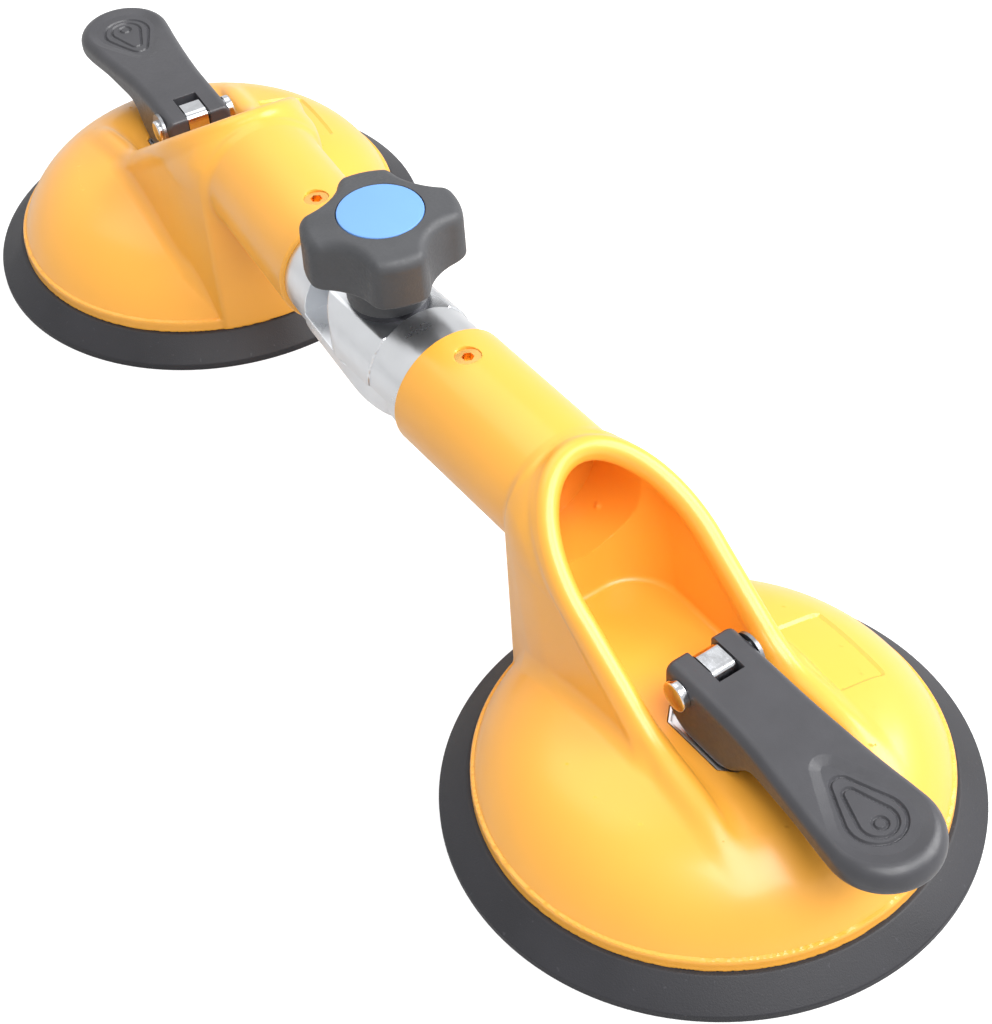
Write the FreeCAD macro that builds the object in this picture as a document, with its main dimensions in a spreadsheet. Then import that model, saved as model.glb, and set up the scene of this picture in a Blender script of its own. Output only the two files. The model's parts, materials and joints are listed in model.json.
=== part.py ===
import FreeCAD, Part
import math
import os
import Sketcher

# Twin-cup suction lifter for floor tiles.  Millimetres, +Z up, work surface at Z = 0.
# Both heads are the same casting, built in head coordinates (origin: cup centre on the work
# surface, +X pointing away from the swivel joint) and then placed.  The swivel parts are built
# in joint coordinates (origin: swivel axis on the work surface, +X along the front arm).
# The document's origin is the middle of the whole tool on the work surface, and the front arm
# points along +X.

DRIVING_SIZES = {
    # how the tool is laid out
    "front_reach": 118.7,          # swivel axis to front cup centre
    "rear_reach": 125.6,           # swivel axis to rear cup centre
    "bend_angle": 7.15,            # how far the arms are from one straight line, at rest
    "arm_axis_z": 52.4,            # height of both tube axes
    # rubber cup
    "pad_radius": 60.0,
    "pad_edge": 2.0,
    "pad_seal_width": 5.0,
    "pad_thickness": 2.8,
    "pad_ledge": 4.0,
    "pad_lift": 6.5,               # how far the closed lever draws the pad's middle up
    "pad_hollow": 8.2,             # depth of the hollow under the pad, lever closed
    # casting
    "rim_radius": 52.6,
    "rim_z": 7.4,
    "rim_band": 3.2,
    "rim_step": 0.9,
    "rim_bevel": 0.7,
    "crown_z": 31.5,
    "crown_curve": 122.0,
    "shoulder_radius": 34.0,
    "shoulder_curve": 27.5,
    "shell_wall": 3.0,
    "cavity_shoulder_z": 9.4,
    "ceiling_z": 22.4,
    "ceiling_radius": 28.0,
    "boss_radius": 9.0,
    "boss_z": 16.4,
    "tube_radius": 15.55,
    "tube_bore": 12.8,
    "tube_bore_depth": 25.0,
    "tube_end": 95.1,              # cup centre to the tube's open end
    "hood_radius": 19.8,
    "hood_wall": 3.9,
    "hood_arch_z": 49.0,           # centre of the hood's round top
    "hood_back": 17.2,             # half width of the leg where it meets the rim
    "hood_flare": 41.0,            # cup centre to where the hood reaches its full width
    "hood_proud": 0.5,             # how far the leg's face stands out of the rim
    "hood_foot_z": 26.0,           # how deep the hood's sloping rim runs into the dome
    "rim_slope": 36.0,
    "rim_top_x": 48.5,
    "rim_top_z": 67.6,
    "bead_radius": 2.4,
    "bead_inset": 1.5,             # bead's centre line in from the hood's outer face
    "bead_end_x": 34.0,            # where the bead has sunk into the dome, beside the trough
    "pocket_floor": 27.8,
    "pocket_half_width": 14.8,
    "pocket_end": 41.5,
    "pocket_lean": 9.8,            # how far the pocket's end wall leans back
    "pocket_corner": 12.2,
    "pocket_plan_corner": 12.5,
    "trough_half_width": 14.0,
    "trough_flare": 15.5,
    "recess_radius": 13.0,
    "recess_depth": 17.0,
    "label_x": 2.7,
    "label_y": 23.6,
    "label_length": 21.6,
    "label_width": 13.2,
    "label_depth": 0.6,
    # pad post and what it carries
    "backing_radius": 34.0,
    "backing_thickness": 2.5,
    "post_radius": 5.4,
    "post_flange": 8.6,
    "post_flange_thickness": 1.6,
    "post_stud": 3.0,
    "tongue_width": 5.8,
    "tongue_length": 8.4,
    "tongue_above_pin": 4.4,
    "tongue_round": 2.4,
    "spring_radius": 12.0,
    "spring_wire": 0.7,
    "spring_turns": 3.0,
    # wear plate and lever
    "plate_thickness": 1.2,
    "plate_top": 27.0,
    "plate_inner": 4.6,
    "plate_outer": 15.6,
    "plate_half_width": 9.0,
    "plate_corner": 3.0,
    "plate_margin": 1.2,
    "pin_x": 0.4,
    "pin_z": 39.0,
    "pin_radius": 3.0,
    "pin_head": 4.1,
    "pin_head_thickness": 1.9,
    "pin_tail": 2.0,
    "clip_radius": 4.6,
    "clip_thickness": 0.8,
    "clip_groove": 2.4,
    "lever_width": 18.4,
    "lever_slot": 6.6,
    "lever_slot_end": 5.9,
    "lever_top": 43.6,
    "lever_top_curve": 260.0,
    "lever_heel": 11.6,
    "heel_round": 12.0,
    "heel_rise": 7.5,
    "heel_drop": 3.4,
    "neck_start": 20.0,            # where the lever starts to widen towards the thumb end
    "neck_round": 12.0,
    "lever_bevel": 1.4,
    "thumb_radius": 12.7,
    "thumb_x": 52.0,
    "thumb_top": 40.8,
    "thumb_bottom": 32.2,
    "neck_x": 27.0,
    "neck_bottom": 35.4,
    "cam_gap": 0.1,
    # grub screw
    "grub_x": 86.5,
    "grub_radius": 3.0,
    "grub_length": 5.0,
    "grub_socket": 1.5,
    "grub_sink": 0.6,
    # half-lap swivel joint
    "barrel_radius": 14.8,
    "collar_radius": 14.2,
    "spigot_radius": 12.7,
    "spigot_length": 22.0,
    "lap_shoulder": 18.6,
    "lap_gap": 0.05,
    "flat_height": 11.4,
    "flat_shoulder": 11.6,
    "stud_radius": 4.0,
    "stud_head": 6.4,
    "stud_head_thickness": 4.6,
    "stud_head_sink": 0.6,
    "stud_top": 80.5,
    "bush_radius": 6.0,
    "washer_radius": 9.2,
    "washer_thickness": 1.6,
    # star knob
    "knob_hub": 10.0,
    "knob_bottom": 75.4,
    "knob_top": 88.8,
    "knob_shoulder": 86.2,
    "knob_lobe": 18.4,
    "knob_valley_curve": 11.8,
    "knob_lobe_angle": 38.0,
    "knob_under": 1.2,
    "knob_round": 2.0,
    "knob_bevel": 1.2,
    "knob_turn": -20.0,
    "knob_bore_depth": 18.6,
    "cap_radius": 10.0,
    "cap_height": 2.4,
    "cap_bevel": 0.6,
    "cap_proud": 0.6,
    "cap_gap": 0.3,
    "insert_radius": 6.2,
    "insert_length": 12.0,
    # fits
    "running_fit": 0.05,
    "seat_gap": 0.05,
    "close_fit": 0.1,
    "free_gap": 0.3,
    "small_round": 0.5,
}

doc = FreeCAD.newDocument("tile_suction_lifter")
sheet = doc.addObject("Spreadsheet::Sheet", "Sizes")
for row, (alias, number) in enumerate(DRIVING_SIZES.items(), start=1):
    sheet.set("A%d" % row, alias)
    sheet.set("B%d" % row, str(number))
    sheet.setAlias("B%d" % row, alias)
doc.recompute()


class Size:
    """A number together with the expression, in terms of the sheet, that gives it."""

    def __init__(self, number, text):
        self.number = float(number)
        self.text = text

    def __add__(self, other):
        other = as_size(other)
        return Size(self.number + other.number, "(%s + %s)" % (self.text, other.text))

    def __radd__(self, other):
        return as_size(other) + self

    def __sub__(self, other):
        other = as_size(other)
        return Size(self.number - other.number, "(%s - %s)" % (self.text, other.text))

    def __rsub__(self, other):
        return as_size(other) - self

    def __mul__(self, other):
        other = as_size(other)
        return Size(self.number * other.number, "(%s * %s)" % (self.text, other.text))

    def __rmul__(self, other):
        return as_size(other) * self

    def __truediv__(self, other):
        other = as_size(other)
        return Size(self.number / other.number, "(%s / %s)" % (self.text, other.text))

    def __neg__(self):
        return Size(-self.number, "(0 - %s)" % self.text)


def as_size(value):
    if isinstance(value, Size):
        return value
    return Size(value, "%.12g" % value)


def size(alias):
    return Size(DRIVING_SIZES[alias], "Sizes." + alias)


def sine(angle):
    angle = as_size(angle)
    return Size(math.sin(math.radians(angle.number)), "sin(%s * 1 deg)" % angle.text)


def cosine(angle):
    angle = as_size(angle)
    return Size(math.cos(math.radians(angle.number)), "cos(%s * 1 deg)" % angle.text)


def root(value):
    value = as_size(value)
    return Size(math.sqrt(value.number), "sqrt(%s)" % value.text)


def bind(item, **properties):
    """Bind properties of a document object to sizes."""
    for name, value in properties.items():
        item.setExpression(name, as_size(value).text)
    return item


# ---------------------------------------------------------------- sketches and bodies

PLANES = {"XY": "XY_Plane", "XZ": "XZ_Plane", "YZ": "YZ_Plane"}


def new_body(label):
    body = doc.addObject("PartDesign::Body", label)
    body.Label = label
    return body


def new_sketch(body, name, plane, offset=0):
    """A sketch on one of the body's own origin planes, moved along that plane's normal."""
    sketch = body.newObject("Sketcher::SketchObject", body.Name + "_" + name)
    for feature in body.Origin.OriginFeatures:
        if feature.Role == PLANES[plane]:
            sketch.AttachmentSupport = [(feature, "")]
    sketch.MapMode = "FlatFace"
    offset = as_size(offset)
    sketch.AttachmentOffset = FreeCAD.Placement(
        FreeCAD.Vector(0, 0, offset.number), FreeCAD.Rotation())
    sketch.setExpression("AttachmentOffset.Base.z", offset.text)
    return sketch


def pin_point(sketch, constraints, bound, geometry, end, x, y):
    """Place one end of a sketch element at x, y."""
    origin, x_axis, y_axis = (-1, 1), -1, -2
    if abs(x.number) < 1e-9:
        constraints.append(Sketcher.Constraint("PointOnObject", geometry, end, y_axis))
    else:
        bound[len(constraints)] = x.text
        constraints.append(Sketcher.Constraint(
            "DistanceX", origin[0], origin[1], geometry, end, x.number))
    if abs(y.number) < 1e-9:
        constraints.append(Sketcher.Constraint("PointOnObject", geometry, end, x_axis))
    else:
        bound[len(constraints)] = y.text
        constraints.append(Sketcher.Constraint(
            "DistanceY", origin[0], origin[1], geometry, end, y.number))


def add_constraints(sketch, constraints, bound):
    first = sketch.ConstraintCount
    sketch.addConstraint(constraints)
    for index, text in bound.items():
        name = "size%d" % (first + index)
        sketch.renameConstraint(first + index, name)
        sketch.setExpression("Constraints." + name, text)


def arc_between(start, end, radius):
    """The short arc from start to end; a positive radius turns left, a negative one right."""
    chord = end - start
    middle = (start + end) * 0.5
    reach = math.sqrt(max(radius * radius - chord.Length * chord.Length / 4, 0.0))
    left = FreeCAD.Vector(-chord.y, chord.x, 0).normalize()
    side = 1 if radius > 0 else -1
    centre = middle + left * (reach * side)
    circle = Part.Circle(centre, FreeCAD.Vector(0, 0, 1), abs(radius))
    first, last = (start, end) if radius > 0 else (end, start)
    return Part.ArcOfCircle(circle, circle.parameter(first), circle.parameter(last))


def closed_outline(sketch, corners):
    """Draw a closed outline.  A corner is (x, y), or (x, y, radius) where an arc leaves it."""
    corners = [tuple(as_size(value) for value in corner) for corner in corners]
    points = [FreeCAD.Vector(corner[0].number, corner[1].number, 0) for corner in corners]
    elements = []
    ends = []
    for index, corner in enumerate(corners):
        start = points[index]
        end = points[(index + 1) % len(points)]
        if len(corner) == 3:
            elements.append(arc_between(start, end, corner[2].number))
            ends.append((1, 2) if corner[2].number > 0 else (2, 1))
        else:
            elements.append(Part.LineSegment(start, end))
            ends.append((1, 2))
    first = sketch.GeometryCount
    sketch.addGeometry(elements, False)
    constraints = []
    bound = {}
    for index, corner in enumerate(corners):
        this = first + index
        following = (index + 1) % len(corners)
        constraints.append(Sketcher.Constraint(
            "Coincident", this, ends[index][1], first + following, ends[following][0]))
        if len(corner) == 3:
            radius = corner[2] if corner[2].number > 0 else -corner[2]
            bound[len(constraints)] = radius.text
            constraints.append(Sketcher.Constraint("Radius", this, radius.number))
    for index, corner in enumerate(corners):
        pin_point(sketch, constraints, bound, first + index, ends[index][0],
                  corner[0], corner[1])
    add_constraints(sketch, constraints, bound)


def circle_outline(sketch, x, y, radius):
    x, y, radius = as_size(x), as_size(y), as_size(radius)
    index = sketch.addGeometry(Part.Circle(
        FreeCAD.Vector(x.number, y.number, 0), FreeCAD.Vector(0, 0, 1), radius.number), False)
    constraints = [Sketcher.Constraint("Radius", index, radius.number)]
    bound = {0: radius.text}
    pin_point(sketch, constraints, bound, index, 3, x, y)
    add_constraints(sketch, constraints, bound)


def box_corners(x0, x1, y0, y1):
    return [(x0, y0), (x1, y0), (x1, y1), (x0, y1)]


def pad(body, sketch, length, symmetric=False, reversed_=False):
    feature = body.newObject("PartDesign::Pad", sketch.Name + "_pad")
    feature.Profile = sketch
    feature.Midplane = symmetric
    feature.Reversed = reversed_
    bind(feature, Length=length)
    sketch.Visibility = False
    return feature


def pocket(body, sketch, length, symmetric=False, reversed_=False):
    """Cut a sketch out of the body, along the sketch's -normal unless reversed."""
    feature = body.newObject("PartDesign::Pocket", sketch.Name + "_pocket")
    feature.Profile = sketch
    feature.Midplane = symmetric
    feature.Reversed = reversed_
    bind(feature, Length=length)
    sketch.Visibility = False
    return feature


def turn(body, sketch, kind, axis="V_Axis"):
    """A full Revolution or Groove about one of the sketch's axes."""
    feature = body.newObject("PartDesign::" + kind, sketch.Name + "_" + kind.lower())
    feature.Profile = sketch
    feature.ReferenceAxis = (sketch, [axis])
    feature.Angle = 360.0
    sketch.Visibility = False
    return feature


def edge_names(shape, wanted):
    return ["Edge%d" % (number + 1) for number, edge in enumerate(shape.Edges)
            if not edge.Degenerated and wanted(edge)]


def is_circle(edge, radius):
    """Whether an edge is a level circle of a radius."""
    return (isinstance(edge.Curve, Part.Circle) and abs(edge.Curve.Radius - radius.number) < 0.01
            and edge.BoundBox.ZLength < 0.01)


def round_edges(body, wanted, radius):
    """Fillet the edges of the body's tip that satisfy a test."""
    doc.recompute()
    base = body.Tip
    names = edge_names(base.Shape, wanted)
    if not names:
        raise RuntimeError("no edge to round on " + body.Label)
    feature = body.newObject("PartDesign::Fillet", base.Name + "_fillet")
    feature.Base = (base, names)
    bind(feature, Radius=radius)
    return feature


def bevel_edges(body, wanted, width):
    doc.recompute()
    base = body.Tip
    names = edge_names(base.Shape, wanted)
    if not names:
        raise RuntimeError("no edge to bevel on " + body.Label)
    feature = body.newObject("PartDesign::Chamfer", base.Name + "_chamfer")
    feature.Base = (base, names)
    bind(feature, Size=width)
    return feature


# ------------------------------------------------------------------------- placements

bend = size("bend_angle")
front_tip = size("front_reach") + size("thumb_x") + size("thumb_radius")
rear_tip = (size("rear_reach") + size("thumb_x")) * cosine(bend) + size("thumb_radius")
joint_x = (rear_tip - front_tip) / 2
joint_y = -(size("rear_reach") * sine(bend)) / 2

HEADS = {
    "front": {"x": joint_x + size("front_reach"), "y": joint_y, "angle": as_size(0)},
    "rear": {"x": joint_x - size("rear_reach") * cosine(bend),
             "y": joint_y + size("rear_reach") * sine(bend),
             "angle": 180 - bend},
}


def put(item, x, y, angle):
    """Place a finished sub-part: turn it about Z, then move it."""
    item.Placement = FreeCAD.Placement(
        FreeCAD.Vector(x.number, y.number, 0),
        FreeCAD.Rotation(FreeCAD.Vector(0, 0, 1), angle.number))
    item.setExpression("Placement.Base.x", x.text)
    item.setExpression("Placement.Base.y", y.text)
    item.setExpression("Placement.Rotation.Angle", "%s * 1 deg" % angle.text)


def put_on_head(item, head):
    place = HEADS[head]
    put(item, place["x"], place["y"], place["angle"])


def put_on_joint(item, angle=0):
    put(item, joint_x, joint_y, as_size(angle))


parts = {}


def finish(label, item):
    item.Label = label
    parts[label] = item
    return item


# ------------------------------------------------------------------- Part-level pieces

def cylinder_x(name, x, length, radius, z):
    """A cylinder lying along X."""
    item = doc.addObject("Part::Cylinder", name)
    bind(item, Radius=radius, Height=length)
    x, z = as_size(x), as_size(z)
    item.Placement = FreeCAD.Placement(
        FreeCAD.Vector(x.number, 0, z.number),
        FreeCAD.Rotation(FreeCAD.Vector(0, 1, 0), 90))
    item.setExpression("Placement.Base.x", x.text)
    item.setExpression("Placement.Base.z", z.text)
    return item


def cylinder_z(name, x, z, length, radius):
    """A cylinder standing along Z."""
    item = doc.addObject("Part::Cylinder", name)
    bind(item, Radius=radius, Height=length)
    x, z = as_size(x), as_size(z)
    item.Placement.Base = FreeCAD.Vector(x.number, 0, z.number)
    item.setExpression("Placement.Base.x", x.text)
    item.setExpression("Placement.Base.z", z.text)
    return item


def fuse(name, shapes):
    item = doc.addObject("Part::MultiFuse", name)
    item.Shapes = shapes
    item.Refine = True
    return item


def common(name, shapes):
    item = doc.addObject("Part::MultiCommon", name)
    item.Shapes = shapes
    item.Refine = True
    return item


def cut(name, base, tool):
    item = doc.addObject("Part::Cut", name)
    item.Base = base
    item.Tool = tool
    item.Refine = True
    return item


# --------------------------------------------------------------------------- housing

axis_z = size("arm_axis_z")
rim_radius = size("rim_radius")
rim_z = size("rim_z")
crown_z = size("crown_z")
crown_curve = size("crown_curve")
shoulder_radius = size("shoulder_radius")
post_bore = size("post_radius") + size("running_fit")
hood_radius = size("hood_radius")
arch_z = size("hood_arch_z")
floor_z = size("pocket_floor")
plate_seat_z = size("plate_top") - size("plate_thickness")
well_above = crown_z * 3


def crown_height(radius, sink=0):
    """Height of the dome's crown at a radius, less how far the surface is sunk."""
    curve = crown_curve - sink
    return crown_z - crown_curve + root(curve * curve - radius * radius)


def dome_body(name):
    """The dome as a solid of revolution, filled in underneath."""
    body = new_body(name)
    sketch = new_sketch(body, "outline", "XZ")
    top_of_band = rim_z + size("rim_band")
    closed_outline(sketch, [
        (0, rim_z),
        (rim_radius, rim_z),
        (rim_radius, top_of_band),
        (rim_radius - size("rim_step"), top_of_band, size("shoulder_curve")),
        (shoulder_radius, crown_height(shoulder_radius), crown_curve),
        (0, crown_z),
    ])
    turn(body, sketch, "Revolution")
    bevel_edges(body, lambda edge: is_circle(edge, rim_radius), size("rim_bevel"))
    return body


def cavity_body(name):
    """What the casting leaves hollow: the bell under the dome and the post's bore."""
    body = new_body(name)
    sketch = new_sketch(body, "outline", "XZ")
    bell = rim_radius - size("shell_wall") - size("rim_step")
    closed_outline(sketch, [
        (0, 0),
        (bell, 0),
        (bell, size("cavity_shoulder_z")),
        (size("ceiling_radius"), size("ceiling_z")),
        (size("boss_radius"), size("ceiling_z")),
        (size("boss_radius"), size("boss_z")),
        (post_bore, size("boss_z")),
        (post_bore, well_above),
        (0, well_above),
    ])
    turn(body, sketch, "Revolution")
    return body


def arch_body(name, radius, half_width, low, x0, x1):
    """A prism along X with a round top: the hood's outside, or its inside."""
    body = new_body(name)
    sketch = new_sketch(body, "outline", "YZ", x0)
    closed_outline(sketch, [
        (-half_width, low),
        (half_width, low),
        (radius, arch_z, radius),
        (0, arch_z + radius, radius),
        (-radius, arch_z),
    ])
    pad(body, sketch, x1 - x0)
    return body


def side_body(name, outline, width):
    """A prism across the arm, drawn from the side."""
    body = new_body(name)
    sketch = new_sketch(body, "outline", "XZ")
    closed_outline(sketch, outline)
    pad(body, sketch, width, symmetric=True)
    return body


def plan_body(name, outline, low, high):
    """A standing prism, drawn from above."""
    body = new_body(name)
    sketch = new_sketch(body, "outline", "XY", low)
    closed_outline(sketch, outline)
    pad(body, sketch, high - low)
    return body


rim_tangent = sine(size("rim_slope")) / cosine(size("rim_slope"))


def rim_x(z):
    """Where the hood's sloping rim passes a height."""
    return -size("rim_top_x") - (z - size("rim_top_z")) / rim_tangent


def trough_edge(x):
    """Half the trough's width at a distance from the cup's centre."""
    flare = sine(size("trough_flare")) / cosine(size("trough_flare"))
    return size("trough_half_width") + as_size(x) * flare


def shoulder_height(radius, sink):
    """Height of the dome's shoulder at a radius, less how far a point is sunk below it."""
    edge = (rim_radius - size("rim_step")).number
    curve = DRIVING_SIZES["shoulder_curve"]
    inner = FreeCAD.Vector(shoulder_radius.number, crown_height(shoulder_radius).number, 0)
    arc = arc_between(FreeCAD.Vector(edge, (rim_z + size("rim_band")).number, 0), inner, curve)
    return arc.Center.y + math.sqrt((curve - sink) ** 2 - (radius - arc.Center.x) ** 2)


def hood_block(name):
    """The hood and its leg before the pocket is taken out."""
    leg_radius = rim_radius + size("hood_proud")
    back = size("hood_back")
    leg_x = root(leg_radius * leg_radius - back * back)
    run = leg_x - size("hood_flare")
    rise = hood_radius - back
    end_x = rim_x(size("hood_foot_z"))
    top_z = arch_z + hood_radius + 2
    arch = arch_body(name + "_arch", hood_radius, hood_radius, rim_z,
                     -leg_radius - 2, end_x + 2)
    side = side_body(name + "_side", [
        (-leg_radius - 1, rim_z),
        (end_x, rim_z),
        (end_x, size("hood_foot_z")),
        (rim_x(top_z), top_z),
        (-leg_radius - 1, top_z),
    ], hood_radius * 3)
    plan = plan_body(name + "_plan", [
        (-leg_x, -back, -leg_radius),
        (-leg_x, back),
        (run - size("hood_flare"), hood_radius + rise),
        (end_x + 1, hood_radius + rise),
        (end_x + 1, -hood_radius - rise),
        (run - size("hood_flare"), -hood_radius - rise),
    ], rim_z - 1, top_z + 1)
    return common(name, [arch, side, plan])


def bent_bar(name, points, section):
    """A bar of one many-sided section swept along a path, mitred at each bend."""
    line = doc.addObject("Part::Feature", name + "_line")
    line.Shape = points if isinstance(points, Part.Wire) else Part.makePolygon(points)
    first = line.Shape.Edges[0]
    start = first.valueAt(first.FirstParameter)
    along = first.tangentAt(first.FirstParameter)
    sides, radius = section
    ring = doc.addObject("Part::RegularPolygon", name + "_ring")
    ring.Polygon = sides
    bind(ring, Circumradius=radius)
    ring.Placement = FreeCAD.Placement(
        start, FreeCAD.Rotation(FreeCAD.Vector(0, 0, 1), along))
    bar = doc.addObject("Part::Sweep", name)
    bar.Sections = [ring]
    bar.Spine = (line, ["Edge%d" % (number + 1) for number in range(len(line.Shape.Edges))])
    bar.Solid = True
    bar.Frenet = False
    bar.Transition = "Right corner"
    return bar


def rim_bead(name):
    """The bead along the hood's sloping rim: an arch, two straight legs, and their run-outs
    beside the trough, where the bead sinks into the dome."""
    across = (hood_radius - size("bead_inset")).number
    slope = math.radians(DRIVING_SIZES["rim_slope"])
    up_slope = FreeCAD.Vector(-math.cos(slope), 0, math.sin(slope))
    bend_z = (crown_z - size("bead_radius")).number
    end_x = DRIVING_SIZES["bead_end_x"]
    end_y = trough_edge(end_x).number + DRIVING_SIZES["bead_radius"]
    end_z = shoulder_height(math.hypot(end_x, end_y), DRIVING_SIZES["bead_radius"])
    spring_x = rim_x(arch_z).number
    bend_x = rim_x(as_size(bend_z)).number
    centre = FreeCAD.Vector(spring_x, 0, arch_z.number)
    ellipse = Part.Ellipse(centre + up_slope * (across / math.sin(slope)),
                           FreeCAD.Vector(spring_x, across, arch_z.number), centre)
    start = ellipse.parameter(FreeCAD.Vector(spring_x, across, arch_z.number))
    end = ellipse.parameter(FreeCAD.Vector(spring_x, -across, arch_z.number))
    arch = Part.ArcOfEllipse(ellipse, min(start, end), max(start, end)).toShape()
    if arch.BoundBox.ZMax < arch_z.number + 1:
        arch = Part.ArcOfEllipse(ellipse, max(start, end),
                                 min(start, end) + 2 * math.pi).toShape()
    edges = [arch]
    for side in (-1, 1):
        spring = FreeCAD.Vector(spring_x, side * across, arch_z.number)
        low = FreeCAD.Vector(bend_x, side * across, bend_z)
        edges.append(Part.makeLine(spring, low))
        edges.append(Part.makeLine(low, FreeCAD.Vector(end_x, side * end_y, end_z)))
    return bent_bar(name, Part.Wire(Part.__sortEdges__(edges)), (8, size("bead_radius")))


def pocket_tool(name):
    """Everything taken out from above: the hood's inside, the trough and the round recess."""
    inner = hood_radius - size("hood_wall")
    end = size("pocket_end")
    corner = size("pocket_corner")
    turn_in = size("pocket_plan_corner")
    reach = rim_radius
    lean = sine(size("pocket_lean")) / cosine(size("pocket_lean"))
    back = end + (well_above - floor_z - corner) * lean
    rear = end + (arch_z + inner - floor_z - corner) * lean
    arch = arch_body(name + "_arch", inner, size("pocket_half_width"), floor_z,
                     -back - 1, reach)
    side = side_body(name + "_side", [
        (corner - end, floor_z),
        (reach, floor_z),
        (reach, well_above),
        (-back, well_above),
        (-end, floor_z + corner, corner),
    ], inner * 3)
    plan = plan_body(name + "_plan", [
        (-rear, turn_in - inner, turn_in),
        (turn_in - rear, -inner),
        (reach, -inner),
        (reach, inner),
        (turn_in - rear, inner, turn_in),
        (-rear, inner - turn_in),
    ], floor_z - 1, well_above)
    hollow = common(name + "_hollow", [arch, side, plan])
    trough = plan_body(name + "_trough", [
        (0, -trough_edge(0)),
        (reach, -trough_edge(reach)),
        (reach, trough_edge(reach)),
        (0, trough_edge(0)),
    ], floor_z, well_above)
    recess = cylinder_x(name + "_recess", -end - size("recess_depth"),
                        size("recess_depth") + corner, size("recess_radius"), axis_z)
    return [hollow, trough, recess]


def plate_outline(margin):
    """The wear plate's outline, grown by a margin; its outer corners are clipped."""
    inner = -size("plate_inner") - margin
    outer = size("plate_outer") + margin
    side = size("plate_half_width") + margin
    clip = size("plate_corner")
    return [
        (inner, -side),
        (outer - clip, -side),
        (outer, clip - side),
        (outer, side - clip),
        (outer - clip, side),
        (inner, side),
    ]


def label_tool(name):
    """A shallow level-bottomed sink in the dome's shoulder, for a sticker."""
    sink = size("label_depth")
    half = size("label_length") / 2
    near = size("label_y")
    middle = size("label_x")
    block = plan_body(name + "_block",
                      box_corners(middle - half, middle + half, near,
                                  near + size("label_width")),
                      size("ceiling_z") - size("label_width"), well_above)
    under = new_body(name + "_under")
    sketch = new_sketch(under, "outline", "XZ")
    edge = rim_radius - size("rim_step") - sink
    closed_outline(sketch, [
        (0, 0),
        (edge, 0),
        (edge, rim_z + size("rim_band"), size("shoulder_curve") - sink),
        (shoulder_radius, crown_height(shoulder_radius, sink), crown_curve - sink),
        (0, crown_z - sink),
    ])
    turn(under, sketch, "Revolution")
    return cut(name, block, under)


def housing(head):
    name = head + "_housing"
    tube = cylinder_x(name + "_tube", -size("tube_end"), size("tube_end") - size("pocket_end"),
                      size("tube_radius"), axis_z)
    solid = fuse(name + "_solid", [dome_body(name + "_dome"), hood_block(name + "_hood"), tube])
    seat = plan_body(name + "_seat", plate_outline(size("plate_margin")), plate_seat_z, well_above)
    bore = cylinder_x(name + "_bore", -size("tube_end") - 1, size("tube_bore_depth") + 1,
                      size("tube_bore"), axis_z)
    grub_hole = cylinder_z(name + "_grub_hole", -size("grub_x"), axis_z,
                           size("tube_radius") * 2, size("grub_radius") + size("running_fit"))
    tools = pocket_tool(name + "_pocket")
    tools += [cavity_body(name + "_cavity"), seat, bore, grub_hole, label_tool(name + "_label")]
    machined = cut(name + "_machined", solid, fuse(name + "_tools", tools))
    whole = fuse(name, [machined, rim_bead(name + "_bead")])
    put_on_head(whole, head)
    return finish(name, whole)


# ------------------------------------------------------------- cup, post and wear plate

pad_top_z = size("pad_hollow") + size("pad_thickness")
backing_z = pad_top_z
flange_z = backing_z + size("backing_thickness")


def rubber_pad(head):
    body = new_body(head + "_rubber_pad")
    sketch = new_sketch(body, "outline", "XZ")
    radius = size("pad_radius")
    backing = size("backing_radius")
    lip = radius - size("pad_seal_width")
    level = rim_z - size("seat_gap")
    under = level - size("pad_thickness")
    ledge = rim_radius - size("pad_ledge")
    run = size("pad_hollow") - under
    closed_outline(sketch, [
        (0, size("pad_hollow")),
        (backing, size("pad_hollow")),
        (backing + run, under),
        (ledge, under),
        (lip, 0),
        (radius, 0),
        (radius, size("pad_edge")),
        (rim_radius + size("pad_edge") / 2, level),
        (backing + size("pad_hollow"), level),
        (backing + size("pad_thickness"), pad_top_z),
        (0, pad_top_z),
    ])
    turn(body, sketch, "Revolution")
    put_on_head(body, head)
    return finish(head + "_rubber_pad", body)


def backing_plate(head):
    body = new_body(head + "_backing_plate")
    sketch = new_sketch(body, "outline", "XY", backing_z)
    circle_outline(sketch, 0, 0, size("backing_radius"))
    circle_outline(sketch, 0, 0, size("post_stud") + size("close_fit"))
    pad(body, sketch, size("backing_thickness"))
    put_on_head(body, head)
    return finish(head + "_backing_plate", body)


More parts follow.
